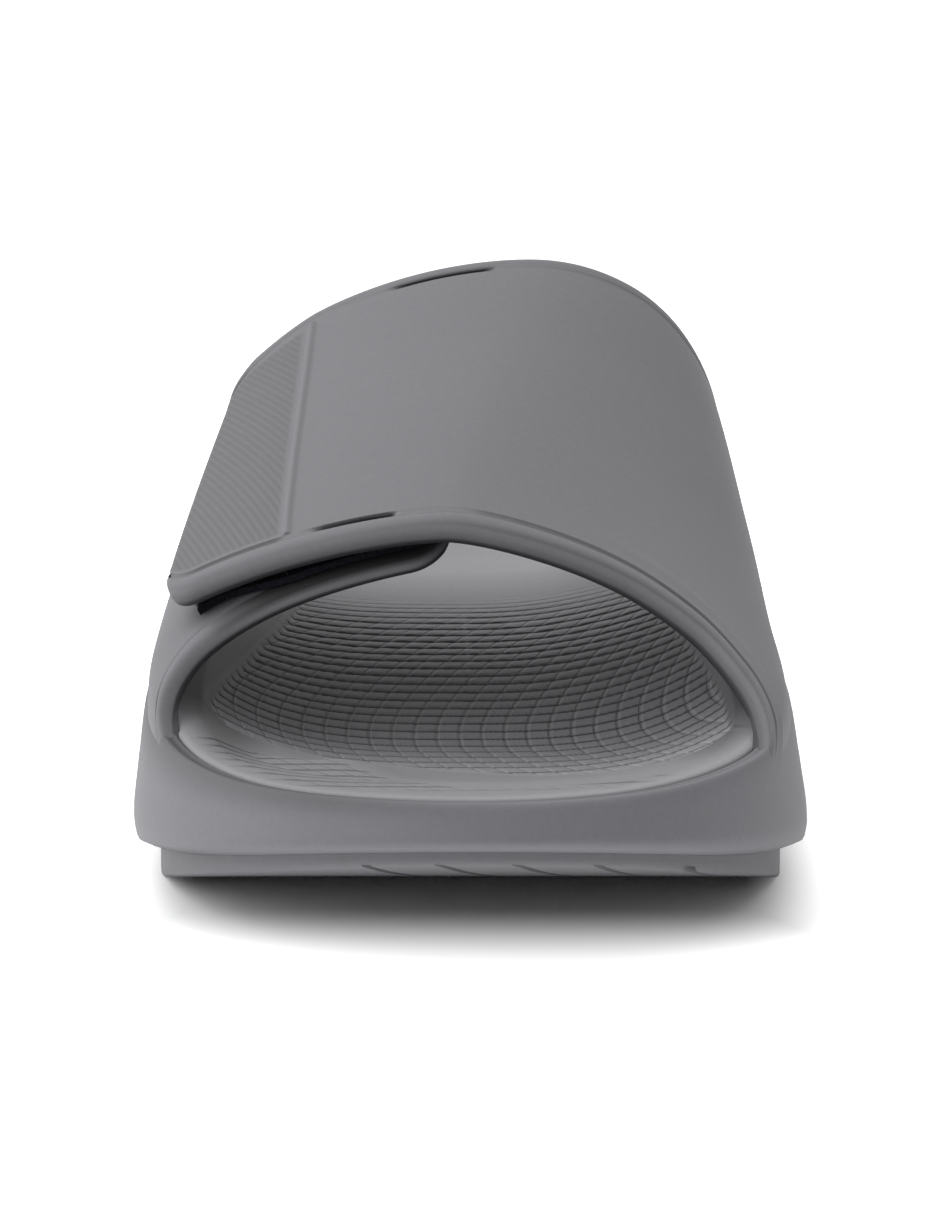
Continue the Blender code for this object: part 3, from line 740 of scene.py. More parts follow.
def makeOutsole():
    angles = ringAngles[::outsole["angleStep"]]
    rings = []
    for inward, up in outsole["chamferRows"]:
        rings.append(ringAt(outsole["inset"] + outsole["chamfer"] * inward,
                            lambda x, y, up=up: floorZ(y) + outsole["chamfer"] * up, 0.0, angles))

    def wallZ(x, y):
        return floorZ(y) + (midsoleBase(x, y) - floorZ(y)) * outsole["wallUp"]
    # the top lies right against the midsole, so no crack shows
    rings += [ringAt(outsole["inset"], height, 0.0, angles) for height in (wallZ, midsoleBase)]
    piece = addSole("outsole_dressed", rings, treadRubber, "outsole", outsole["sharpAngle"])
    slant = shoe["length"] / 2 / math.tan(outsole["grooveAngle"])
    count = int((shoe["ballWidth"] / 2 + slant) / outsole["groovePitch"])
    cutters = bpy.data.collections.new("grooveCutters")
    for i in range(-count, count + 1):
        cutters.objects.link(grooveCutter(i * outsole["groovePitch"]))
    cut = piece.modifiers.new("grooves", "BOOLEAN")
    cut.operation = "DIFFERENCE"
    cut.operand_type = "COLLECTION"
    cut.collection = cutters
    applyModifiers(piece)
    for cutter in list(cutters.objects):
        bpy.data.objects.remove(cutter, do_unlink=True)
    bpy.data.collections.remove(cutters)


def applyModifiers(piece):
    graph = bpy.context.evaluated_depsgraph_get()
    mesh = bpy.data.meshes.new_from_object(piece.evaluated_get(graph))
    piece.modifiers.clear()
    old = piece.data
    piece.data = mesh
    bpy.data.meshes.remove(old)


makeOutsole()
print("outsole cut")

# Midsole body

midsole = {
    "wallShade": 0.36,  # painted shade: the side goes darker up to the rim, on the shoe's lateral side
    "wallShadeFrom": 0.55,
    "shadedSide": (-0.012, 0.030),
    "troughShade": 0.34,
    "bevelRise": 0.0014,
    "bevelSteps": (0.25, 0.5, 0.75),
    "bevelPower": 1.6,
    "lipInset": 0.0012,
    "rimWidth": 0.0024,
    "draft": 0.0006,
    "trayFloor": 0.0032,
}

# The side from the sole's edge to the seam: the lip's inset and the height up the wall, then the wall's lean
# and its height, then the way over the rim and the drop there in millimetres. The rest are shares.
lipSideRows = [(1.00, 0.000), (0.62, 0.012), (0.34, 0.040), (0.14, 0.085), (0.02, 0.130)]
leanRows = [(0.02, 0.200), (0.09, 0.290), (0.17, 0.380), (0.25, 0.480), (0.34, 0.580), (0.43, 0.690),
            (0.51, 0.780), (0.60, 0.860), (0.69, 0.915), (0.78, 0.955), (0.88, 0.982), (1.00, 0.997)]
rimRows = [(0.14, 0.05), (0.32, 0.32), (0.50, 0.50), (0.66, 0.46), (0.80, 0.26), (0.90, 0.26), (0.97, 0.48),
           (1.00, 0.90)]
wallRows = [(lip, 0.0, 0.0, up, 0.0) for lip, up in lipSideRows]
wallRows += [(0.0, lean, 0.0, up, 0.0) for lean, up in leanRows]
wallRows += [(0.0, 1.0, rim, 1.0, drop) for rim, drop in rimRows]


def makeMidsole():
    rings = [ringAt(outsole["inset"] + shoe["gap"], midsoleBase)]
    lateral = rampUp(-rings[0][:, 0], *midsole["shadedSide"])
    for share in midsole["bevelSteps"]:
        inset = outsole["inset"] + shoe["gap"] + (midsole["lipInset"] - outsole["inset"]) * share
        rings.append(ringAt(inset, lambda x, y, share=share: bevelZ(x, y, share ** midsole["bevelPower"])))
    shades = [0 * lateral] * len(rings)
    for lip, lean, rim, up, drop in wallRows:
        inset = midsole["lipInset"] * lip + midsole["rimWidth"] * rim

        def side(x, y, up=up, drop=drop):
            low = bevelZ(x, y, 1.0)
            return low + (rimZ(x, y) - low) * up - drop * millimetre
        rings.append(ringAt(inset, side, lean))
        # painted shade up the wall toward the rim and over the rim's trough, darkest halfway over the rim
        trough = midsole["troughShade"] * float(bump(rim - 0.5, 0.5))
        dark = midsole["wallShade"] * float(rampUp(up, midsole["wallShadeFrom"], 1.0)) + trough
        shades.append(dark * lateral)
    rings.append(ringAt(midsole["rimWidth"] + midsole["draft"], trayFloorZ, 1.0))
    shades.append(0 * lateral)
    piece = addSole("midsole_dressed", rings, bodyFoam, "midsole")
    paint(piece, "shade", np.concatenate(shades))


def bevelZ(x, y, share):
    # the underside of the lip, at a share of the bevel's rise
    return midsoleBase(x, y) + midsole["bevelRise"] * sole["tread"](alongOf(y)) * share


def trayFloorZ(x, y):
    return midsoleBase(x, y) + midsole["trayFloor"]


makeMidsole()
print("midsole made")

# Footbed

# The tile panel's edges: x of the lateral and the medial edge, and the front edge's y across the foot.
panelSideRows = [(-0.105, -0.020, 0.0435), (-0.085, -0.0405, 0.0440), (-0.066, -0.0445, 0.0435),
                 (-0.049, -0.0424, 0.0415), (-0.035, -0.0394, 0.0390), (-0.024, -0.0368, 0.0365),
                 (-0.014, -0.0339, 0.0340), (0.010, -0.0290, 0.0290)]
panelFrontRows = [(-0.046, -0.066), (-0.040, -0.0765), (-0.030, -0.0770), (-0.020, -0.0790),
                  (-0.010, -0.0825), (0.000, -0.0860), (0.010, -0.0905), (0.020, -0.0945),
                  (0.030, -0.0970), (0.038, -0.0960), (0.043, -0.0900)]
panelSides = tableReaders("y lateral medial", panelSideRows)
panelFront = curveThrough(*zip(*panelFrontRows))


def bedZ(x, y, share):
    along = alongOf(y)
    middle = shoe["bedHeight"] * sole["bed"](along)
    edge = rimZ(x, y) - shoe["gap"]
    arch = (along - footbed["archStart"]) / (footbed["archEnd"] - footbed["archStart"])
    softer = np.where((arch > 0) & (arch < 1) & (x > 0), np.sin(math.pi * np.clip(arch, 0, 1)), 0)
    power = footbed["power"] + (footbed["archPower"] - footbed["power"]) * softer
    return middle + (edge - middle) * share ** power


def grooveShape(distance, half):
    # 1 in the groove's bottom, falling to 0 at its edge
    return 1 - rampUp(np.abs(distance), half * footbed["grooveFlat"], half)


def tileRelief(x, y):
    bowed = x - (np.sqrt(footbed["bow"] ** 2 + (y - footbed["bowMiddle"]) ** 2) - footbed["bow"])
    column = np.abs((bowed / footbed["tileColumn"]) % 1 - 0.5) * footbed["tileColumn"]
    behind = np.maximum(y, footbed["toeStart"])
    count = footbed["rowDensity"] * behind + footbed["rowSpread"] * behind ** 2
    count += footbed["toeDensity"] * np.minimum(y - footbed["toeStart"], 0)
    row = np.abs(count % 1 - 0.5)
    return np.maximum(grooveShape(row, footbed["rowGroove"]) * footbed["rowDepth"],
                      grooveShape(column, footbed["columnGroove"]) * footbed["columnDepth"])


def panelInside(x, y):
    # how far inside the tile panel's side and front edges a point lies
    sides = np.minimum(x - panelSides["lateral"](y), panelSides["medial"](y) - x)
    return np.minimum(sides, y - panelFront(x))


def toePatchMask(x, y):
    # tiles again at the toe, between its two edges
    return rampUp(np.minimum(y - patchFront(x), patchBack(x) - y), 0.0, toePatch["edge"])


def toeLedge(x, y, z):
    # the lateral side of the toe is a level ledge in front of the dish
    share = rampUp(-x, *toePatch["ledgeSide"]) * rampUp(y, *toePatch["ledgeFront"])
    share *= 1 - rampUp(y, *toePatch["ledgeBack"])
    return share * np.maximum(0, toePatch["ledgeHeight"] - z)


toePatch = {
    "strength": 0.5,
    "relief": 0.1,
    "edge": 0.0012,
    "ledgeHeight": 0.0274,
    "ledgeSide": (0.006, 0.022),
    "ledgeFront": (-0.126, -0.116),
    "ledgeBack": (-0.100, -0.086),
}
# The toe patch's front and back edges: y across the foot.
patchFrontRows = [(-0.046, -0.094), (-0.043, -0.100), (-0.039, -0.1115), (-0.030, -0.1215), (-0.020, -0.1275),
                  (-0.006, -0.1300), (0.013, -0.1300), (0.027, -0.1270), (0.038, -0.1175), (0.044, -0.1100)]
patchBackRows = [(-0.046, -0.092), (-0.034, -0.0915), (-0.025, -0.0965), (-0.017, -0.106), (-0.008, -0.1190),
                 (0.000, -0.1260), (0.013, -0.1255), (0.027, -0.1220), (0.038, -0.1125), (0.044, -0.1070)]
patchFront = curveThrough(*zip(*patchFrontRows))
patchBack = curveThrough(*zip(*patchBackRows))
# The lip beside the seam: how far in from its outer edge and how far under the rim, in millimetres.
lipRows = [(0.00, 0.90), (0.05, 0.50), (0.18, 0.24), (0.42, 0.08), (0.80, 0.00), (1.25, 0.00), (1.65, 0.06),
           (1.95, 0.20)]


def makeFootbed():
    outer = midsole["rimWidth"] + shoe["gap"]
    lip = outer + footbed["lip"]
    shoulder = lip + footbed["shoulder"]
    rings = [ringAt(outer + midsole["draft"], lambda x, y: trayFloorZ(x, y) + shoe["gap"], 1.0)]
    for inset, drop in lipRows:
        rings.append(ringAt(outer + inset * millimetre,
                            lambda x, y, drop=drop: rimZ(x, y) - drop * millimetre, 1.0))
    edge = outline(ringAngles, shoulder, 1.0)
    spineY = edge[:, 1] * footbed["spineShare"]
    spine = np.stack([(sideX(spineY, 1) + sideX(spineY, -1)) / 2, spineY], -1)
    shades = [np.zeros(len(ringAngles))] * len(rings)
    tiles, toeTiles = list(shades), list(shades)
    steps, free = footbed["rings"], footbed["ringEnd"]
    for share in 1 - (np.arange(steps) + free) / (steps + 2 * free):
        flat = spine + (edge - spine) * share
        x, y = flat[:, 0], flat[:, 1]
        inside = panelInside(x, y)
        fade = 1 - rampUp(y, footbed["panelBack"] - footbed["panelFade"], footbed["panelBack"])
        mask = rampUp(inside, 0.0, footbed["panelEdge"]) * fade
        patch = toePatchMask(x, y) * toePatch["strength"]
        border = bump(inside - footbed["borderAt"], footbed["borderHalf"]) * fade
        relief = tileRelief(x, y) * (mask + patch * toePatch["relief"])
        lit = footbed["backShine"] * rampUp(y, footbed["shineFrom"], 0.0)
        z = bedZ(x, y, share)
        z += toeLedge(x, y, z) - mask * footbed["panelDrop"] - relief + border * footbed["borderRise"]
        rings.append(np.column_stack([flat, z]))
        # painted shade at the toe and in the hollows beside the panel; on the panel painted light, paler
        # toward the back, and a painted highlight on its border
        toe = footbed["toeShade"] * rampUp(-y, *footbed["toeShadeFrom"]) * (1 - mask)
        hollow = bump(y - footbed["hollowAt"], footbed["hollowHalf"]) * (1 - mask)
        toe += footbed["hollowShade"] * rampUp(np.abs(x), *footbed["hollowSide"]) * hollow
        shades.append(mask * (footbed["panelShade"] - lit) - border * footbed["borderShine"] + toe)
        toeTiles.append(patch)
        tiles.append(mask + patch)
    piece = addSole("footbed_dressed", rings, bedFoam, "footbed")
    for name, values in (("shade", shades), ("tiles", tiles), ("toeTiles", toeTiles)):
        paint(piece, name, np.concatenate(values))


makeFootbed()
print("footbed made")

# Straps

strap = {
    "overWall": 0.0046,
    "underWall": 0.0042,
    "spread": 0.012,
    "rootOutMedial": 0.0012,  # how far the roots stand out over the rim's crest
    "rootOutLateral": 0.0009,
    "flareReach": 0.013,
    "flareRise": 0.013,
    "flarePower": 3.2,
    "settleRise": 0.008,
    "slitShade": 0.99,
    "slitSlope": 2.2,  # painted shade in the slit: how fast it goes dark from its edge, where it has the share below
    "slitEdge": 0.3,
    "slitFull": 0.0010,  # from this depth on it is fully dark
    "noseShade": 0.38,
    "bandAt": 0.12,  # a band of painted shade along the front bead, and where the closure's painted shadow ends on it
    "bandHalf": 0.13,
    "shadowEnd": (0.20, 0.46),
    "gripShade": 0.16,
    "curlShade": 0.78,
    "innerShade": 0.5,  # of the shade under the bead
    "innerRows": 16,
    "rollTurns": (0.64, 0.80),
    "rollFrom": 0.0042,  # the soft ridge behind the front bead on the medial side
    "rollHalf": 0.0024,
    "rollHeight": 0.0004,
    "sink": 0.0007,
    "sinkAhead": 0.0034,
    "overNose": (0.16, 0.56, 0.0),  # depths between which painted shade darkens the nose, then the closure's painted shadow on it
    "underNose": (0.56, 0.76),
    "underRows": 60,
    "underBackSlit": 0.0001,
    "bead": 0.0046,
    "faceStart": 1.12,  # beads from the edge
    "faceDrop": 0.00012,
    "hook": 0.0006,
    "loop": 0.0011,
    "powerRoot": 2.0,
    "powerTip": 1.55,
    "tipRadius": 0.009,
    "rootShare": 0.5,
}
overEdges = [(0.200, 0.264, 0.490), (0.270, 0.263, 0.520), (0.350, 0.261, 0.540), (0.500, 0.259, 0.552),
             (0.620, 0.252, 0.556), (0.700, 0.244, 0.562), (0.784, 0.224, 0.570), (0.848, 0.196, 0.580),
             (0.920, 0.172, 0.592), (1.000, 0.158, 0.605)]
underEdges = [(0.000, 0.196, 0.600), (0.050, 0.206, 0.590), (0.110, 0.222, 0.575), (0.200, 0.246, 0.556),
              (0.300, 0.262, 0.545), (0.480, 0.276, 0.535)]
overEnd = {"tipFront": 0.205, "tipBack": 0.262, "gripTurn": 0.332, "gripShare": 0.160, "underTip": 0.480}
overReader = tableReaders("around front back", overEdges)
underReader = tableReaders("around front back", underEdges)

# Where the sections stand, as shares of a strap's length: evenly, and close together at its tip and its root.
# The rows give the tip's thickness too, as a share of the wall.
spacing = {
    "tipRows": ((0.0, 0.30), (0.003, 0.66), (0.007, 0.86), (0.011, 0.96), (0.015, 1.0)),
    "gripFrom": 0.018,
    "gripPast": 0.020,
    "plainPast": 0.027,
    "plainTo": 0.955,
    "rootSpan": 0.040,
    "rootSteps": 16,
    "underRootSpan": 0.050,
    "underFrom": 0.062,
    "underTo": 0.970,
    "underLast": 0.976,
    "underSteps": 90,
    "underRows": ((0.982, 1.0), (0.988, 0.94), (0.993, 0.8), (0.997, 0.6), (1.0, 0.3)),
}


def vaultCurve(y, turn, baseX, drop, power):
    along = alongOf(y)
    crownX = shoe["ballWidth"] * vault["crown"](along)
    crownZ = shoe["instep"] * vault["height"](along) - drop
    baseZ = rimZ(baseX, y) + shoe["gap"]
    angle = math.pi * turn
    reach = np.abs(np.cos(angle)) ** (2 / power)
    rise = np.maximum(0, np.sin(angle)) ** (2 / power)
    return np.stack([crownX + (baseX - crownX) * reach, y, baseZ + (crownZ - baseZ) * rise], -1)


def overVault(y, turn):
    root = sideX(y, 1) - leanAt(shoe["ballWidth"], y) + strap["rootOutMedial"]
    medial = vaultCurve(y, turn, root, 0.0, vault["powerMedial"](alongOf(y)))
    lateral = vaultCurve(y, turn, sideX(y, -1) - strap["spread"], 0.0, vault["powerLateral"](alongOf(y)))
    return np.where((turn > 0.5)[..., None], medial, lateral)


def underVault(y, turn):
    baseX = sideX(y, -1) + leanAt(-shoe["ballWidth"], y) - strap["rootOutLateral"]
    power = strap["powerRoot"] + (strap["powerTip"] - strap["powerRoot"]) * np.minimum(1, 2 * turn)
    drop = strap["overWall"] + strap["hook"] + strap["loop"] + 3 * shoe["gap"]
    return vaultCurve(y, turn, baseX, drop, power)


def depthPoint(surface, y, turn, depth):
    step = 0.004
    tangent = surface(y, np.minimum(1, turn + step)) - surface(y, np.maximum(0, turn - step))
    tangent[turn <= 0] = (0, 0, 1)
    tangent[turn >= 1] = (0, 0, -1)
    inward = np.stack([tangent[:, 2], 0 * y, -tangent[:, 0]], -1)
    inward /= np.linalg.norm(inward, axis=1)[:, None]
    face = surface(y, turn)
    root = surface(y, np.where(turn > 0.5, 1.0, 0.0))
    point = face + inward * depth[:, None]
    point[:, 2] = np.maximum(point[:, 2], root[:, 2] + strap["rootShare"] * (face[:, 2] - root[:, 2]))
    return point


# A strap's rolled edge, from its foremost point over the bead: how far from the edge as shares of the bead,
# and how deep as shares of the wall. The second table curls under, and the third is the slit behind the bead,
# with its depth as a share of the slit's.
noseRows = [(0.000, 0.56), (0.012, 0.44), (0.045, 0.32), (0.10, 0.205), (0.18, 0.115), (0.28, 0.052),
            (0.40, 0.014), (0.53, 0.000), (0.66, 0.008), (0.77, 0.040)]
curlRows = [(0.03, 0.68), (0.10, 0.79), (0.22, 0.88), (0.38, 0.95), (0.58, 0.99)]
slitRows = [(0.785, 0.40), (0.810, 1.00), (0.880, 1.00), (0.960, 1.00), (1.050, 1.00), (1.075, 0.50),
            (1.100, 0.00)]


def cornerRound(distance, radius):
    inside = np.maximum(0, radius - distance)
    return radius - np.sqrt(np.maximum(0, radius ** 2 - inside ** 2))


# painted shade in a slit, darker where it is deeper
def slitShadeAt(deep, share):
    edge = min(1, strap["slitSlope"] * share + strap["slitEdge"])
    return strap["slitShade"] * edge * min(1, deep / strap["slitFull"])


def edgeRows(edge, bead, wall, slit, shadeAt):
    # a strap's rolled edge and the slit behind its bead, as places, depths and painted shades
    rows = [(edge + bead * w, wall * d, shadeAt(d)) for w, d in noseRows]
    return rows + [(edge + bead * w, strap["faceDrop"] + slit * s, slitShadeAt(slit, s)) for w, s in slitRows]


def strapSection(surface, turnOf, edges, wall, roundBy, thick, slit, faceCount, faceLift, nose, flare):
    # one section: the outer row from the front edge to the back edge, then the inner row back
    bead = strap["bead"]
    yFront, yBack = edges
    low, high = yFront + roundBy, yBack - roundBy
    dark, tapeShadow, band = nose[:2], nose[2], nose[3]

    # painted shade under the rolled edges; on the front one also a painted band of shade and the closure's
    # painted shadow
    def backNoseShade(d):
        return strap["noseShade"] * float(rampUp(d, *dark))

    def frontNoseShade(d):
        under = backNoseShade(d) + band * float(bump(d - strap["bandAt"], strap["bandHalf"]))
        return max(under, tapeShadow * (1 - float(rampUp(d, *strap["shadowEnd"]))))
    front = edgeRows(low, bead, wall, slit[0], frontNoseShade)
    back = edgeRows(high, -bead, wall, slit[1], backNoseShade)
    inner = low + bead * strap["faceStart"], high - bead * strap["faceStart"]
    face = [(y, strap["faceDrop"], 0.0) for y in np.linspace(*inner, faceCount)]
    # painted shade under the strap's curl and on its inner face
    curl, hidden = strap["curlShade"], strap["curlShade"] * strap["innerShade"]
    under = [(low + bead * w, wall * d, curl) for w, d in curlRows]
    under += [(y, wall, hidden) for y in np.linspace(low + bead, high - bead, strap["innerRows"])]
    under += [(high - bead * w, wall * d, curl) for w, d in curlRows[::-1]]
    rows = np.array(front + face + back[::-1] + under[::-1])
    y, depth, shade = rows.T
    outerCount = len(front) + len(face) + len(back)
    isFace = np.zeros(len(y), bool)
    isFace[len(front):len(front) + faceCount] = True
    turns = turnOf((y - yFront) / (yBack - yFront))
    ribs = np.zeros((2, len(y)))
    fromBead = np.minimum(y - low, high - y) - bead
    depth = np.where(isFace, depth - frontRoll(turns, y, low), depth)
    if faceLift is not None:
        lift, ribCount, ribMask = faceLift(turns, y, fromBead)
        depth = np.where(isFace, depth - lift, depth)
        ribs = np.stack([ribCount, np.where(isFace, ribMask, 0)])
        # painted shade over the ribbed grip panel
        shade = np.where(isFace, strap["gripShade"] * ribMask, shade)
    middle = wall / 2
    depth = middle + (depth - middle) * thick
    ahead = np.clip((yFront + flare - y) / strap["flareReach"], 0, 1)
    return settleRoot(depthPoint(surface, y, turns, depth), ahead), outerCount, shade, ribs


def wallTopZ(x, y):
    # height of the midsole's side under a point that stands out over the rim's crest
    side = np.sign(x)
    outer = sideX(y, 1) * (side > 0) - sideX(y, -1) * (side < 0)
    share = np.clip((outer - np.abs(x)) / leanAt(side * shoe["ballWidth"], y), 0, 1)
    leans, ups = np.array(leanRows).T
    base = midsoleBase(x, y)
    return base + (rimZ(x, y) - base) * np.interp(share, leans, ups)


def settleRoot(points, ahead):
    # let a strap's foot follow the midsole's side where it stands out over the crest
    x, y = points[:, 0], points[:, 1]
    rim = rimZ(x, y)
    near = np.clip(1 - (points[:, 2] - rim) / strap["settleRise"], 0, 1) ** 2
    sink = strap["sink"] + strap["sinkAhead"] * ahead
    points[:, 2] += near * (np.minimum(0, wallTopZ(x, y) - rim) - sink)
    return points


def frontRoll(turns, y, low):
    # on the medial side a soft ridge runs behind the bead, down to the rim
    away = y - low - strap["bead"] - strap["rollFrom"]
    return bump(away, strap["rollHalf"]) * strap["rollHeight"] * rampUp(turns, *strap["rollTurns"])


def rootFlare(surface, y, turn):
    # how far a strap's front edge sweeps forward low down, where it runs out along the rim
    face = surface(np.array([y]), np.array([turn]))[0]
    height = face[2] - float(rimZ(face[0], y))
    return strap["flareReach"] * max(0.0, 1 - height / strap["flareRise"]) ** strap["flarePower"]


def loftStrap(name, sections, nodes):
    points = [section[0] for section in sections]
    faces = stripFaces(points, sections[0][1])
    piece = addPiece(name, np.concatenate(points), faces, strapFoam, nodes)
    paint(piece, "shade", np.concatenate([section[2] for section in sections]))
    paint(piece, "ribCount", np.concatenate([section[3][0] for section in sections]))
    paint(piece, "ribs", np.concatenate([section[3][1] for section in sections]))


def overTurn(share, across):
    tip = overEnd["tipFront"] + (overEnd["tipBack"] - overEnd["tipFront"]) * across
    beyond = (share - overEnd["gripShare"]) / (1 - overEnd["gripShare"])
    onPanel = tip + (overEnd["gripTurn"] - tip) * share / overEnd["gripShare"]
    onStrap = overEnd["gripTurn"] + (1 - overEnd["gripTurn"]) * beyond
    return np.where(share < overEnd["gripShare"], onPanel, onStrap)


def gripRelief(turns, y, fromBead):
    # the raised bead across the strap and the slanted ribs between it and the tip
    around = (turns - overEnd["gripTurn"]) * grip["arc"]
    line = bump(around, grip["beadHalf"]) * grip["beadHeight"]
    width = grip["slantSpan"]
    share = np.clip((y - grip["slantFrom"]) / width, 0, 1)
    slant = grip["slantFront"] * y + (grip["slantBack"] - grip["slantFront"]) * width * share ** 2 / 2
    count = (grip["aroundShare"] * around + slant) / grip["pitch"]
    mask = rampUp(-around, grip["beadHalf"], grip["beadHalf"] + grip["tipFade"])
    mask = mask * rampUp(fromBead, *grip["edgeFade"])
    return line - mask * grip["drop"], count, mask


# Depth of the slits behind the beads in millimetres, over the turn around the instep.
frontSlitRows = [(0.200, 0.9), (0.232, 0.9), (0.245, 0.15), (0.270, 0.35), (0.322, 0.35), (0.335, 0.0),
                 (0.352, 0.1), (0.365, 0.8), (0.400, 1.0), (0.422, 1.6), (0.431, 0.05), (0.520, 0.05),
                 (0.560, 0.25), (0.700, 0.35), (0.800, 0.40), (0.880, 0.3), (1.000, 0.1)]
backSlitRows = [(0.200, 0.3), (0.330, 0.0), (0.395, 0.1), (0.410, 1.1), (0.470, 1.2), (0.482, 0.05),
                (0.620, 0.15), (1.000, 0.3)]
frontSlit = curveThrough(*zip(*frontSlitRows))
backSlit = curveThrough(*zip(*backSlitRows))
underSlit = curveThrough([0.0, 0.05, 0.12, 0.48], [0.35, 0.2, 0.1, 0.05])
# Painted shade over the same turn: the darker band on the over-strap's front bead, and the closure's painted
# shadow on the under-strap's nose.
noseShadeBand = curveThrough([0.2, 0.38, 0.5, 0.62, 0.9, 1.0], [0.10, 0.12, 0.26, 0.38, 0.38, 0.2])
tapeShade = curveThrough([0.0, 0.185, 0.22, 0.30, 0.44, 0.475, 0.48], [0.0, 0.0, 0.45, 0.93, 0.95, 0.8, 0.7])


def edgeY(reader, turn):
    return shoe["length"] * (float(reader(turn)) - 0.5)


def makeOverStrap():
    gripShare = overEnd["gripShare"]
    shares = np.concatenate([
        [share for share, _ in spacing["tipRows"]],
        np.linspace(spacing["gripFrom"], gripShare + spacing["gripPast"], grip["columns"]),
        np.linspace(gripShare + spacing["plainPast"], spacing["plainTo"], grip["plainColumns"]),
        1 - spacing["rootSpan"] * np.linspace(1, 0, spacing["rootSteps"]) ** 2,
    ])
    thicks = np.interp(shares, *zip(*spacing["tipRows"]))
    sections = []
    for share, thick in zip(shares, thicks):
        turn = float(overTurn(share, 0.5))
        yFront, yBack = edgeY(overReader["front"], turn), edgeY(overReader["back"], turn)
        flare = rootFlare(overVault, yFront, turn) if turn > 0.5 else 0.0
        yFront -= flare
        roundBy = float(cornerRound(share * grip["arc"], strap["tipRadius"]))
        slit = millimetre * float(frontSlit(turn)), millimetre * float(backSlit(turn))
        lift = gripRelief if turn < overEnd["gripTurn"] + grip["turnPast"] else None
        # painted shade under the nose, with a painted band of shade along it
        nose = (*strap["overNose"], float(noseShadeBand(turn)))
        sections.append(strapSection(overVault, lambda v, share=share: overTurn(share, v), (yFront, yBack),
                                     strap["overWall"], roundBy, thick, slit, grip["rows"], lift, nose,
                                     flare))
    return loftStrap("strap_over_dressed", sections, ["strap_over"])


def makeUnderStrap():
    arc = grip["arc"] * overEnd["underTip"]
    shares = np.concatenate([
        spacing["underRootSpan"] * np.linspace(0, 1, spacing["rootSteps"]) ** 2,
        np.linspace(spacing["underFrom"], spacing["underTo"], spacing["underSteps"]),
        [spacing["underLast"]],
        [share for share, _ in spacing["underRows"]],
    ])
    thicks = np.interp(shares, *zip(*spacing["underRows"]))
    sections = []
    for share, thick in zip(shares, thicks):
        turn = overEnd["underTip"] * share
        yFront, yBack = edgeY(underReader["front"], turn), edgeY(underReader["back"], turn)
        flare = rootFlare(underVault, yFront, turn)
        yFront -= flare
        # painted shade under the nose, and the closure's painted shadow on it
        nose = (*strap["underNose"], float(tapeShade(turn)), 0.0)
        roundBy = float(cornerRound((1 - share) * arc, strap["tipRadius"]))
        slit = millimetre * float(underSlit(turn)), strap["underBackSlit"]
        sections.append(strapSection(underVault, lambda v, turn=turn: 0 * v + turn, (yFront, yBack),
                                     strap["underWall"], roundBy, thick, slit, strap["underRows"], None, nose,
                                     flare))
    return loftStrap("strap_under_dressed", sections, ["strap_under"])


makeOverStrap()
makeUnderStrap()
print("straps made")

# Closure tapes

tape = {
    "hookMargin": 0.0055,
    "loopMargin": (0.0088, 0.0014),  # at the outer end and past the taper
    "loopTaper": 0.13,
    "loopStart": 0.186,
    "loopEnd": 0.468,
    "hookStart": 0.275,
    "hookEnd": 0.350,
    "loops": 5200,
    "hooks": 420,
    "loopHeight": 0.0009,
    "loopWidth": 0.0010,
    "hookHeight": 0.0005,
    "threadRadius": 0.00007,
    "threadSteps": 6,
    "smallest": 0.5,  # share of the height and the width that the smallest threads have
    "ruffle": 0.00006,
    "lengthSteps": 40,
    "widthSteps": 30,
    "endFree": 0.002,  # threads stay this far from the tape's ends, and the share below from its sides
    "sideFree": 0.004,
}


def tapePoint(surface, turn, across, depth):
    # a tape runs from behind its own strap's front edge to short of the over-strap's back edge
    if surface is overVault:
        reader, margin = overReader, tape["hookMargin"]
    else:
        reader = underReader
        share = rampUp(turn, tape["loopStart"], tape["loopStart"] + tape["loopTaper"])
        first, later = tape["loopMargin"]
        margin = first + (later - first) * share
    front = shoe["length"] * (reader["front"](turn) - 0.5) + margin
    back = overReader["back"](np.maximum(turn, overEnd["tipBack"]))
    back = shoe["length"] * (back - 0.5) - tape["hookMargin"]
    return depthPoint(surface, front + (back - front) * across, turn, depth)


def threadMesh(routes, radius):
    # three-sided threads along short routes, joined into one set of points and faces
    count, steps = routes.shape[:2]
    along = np.gradient(routes, axis=1)
    along /= np.linalg.norm(along, axis=2)[..., None] + 1e-12
    side = np.cross(along, np.array([0.31, 0.87, 0.38]))
    side /= np.linalg.norm(side, axis=2)[..., None] + 1e-12
    up = np.cross(along, side)
    ring = [routes + radius * (math.cos(a) * side + math.sin(a) * up) for a in (0, 2.094, 4.189)]
    points = np.stack(ring, 2).reshape(-1, 3)
    starts = np.arange(count)[:, None, None] * steps * 3
    return points, (loftFaces(steps, 3)[None] + starts).reshape(-1, 4)


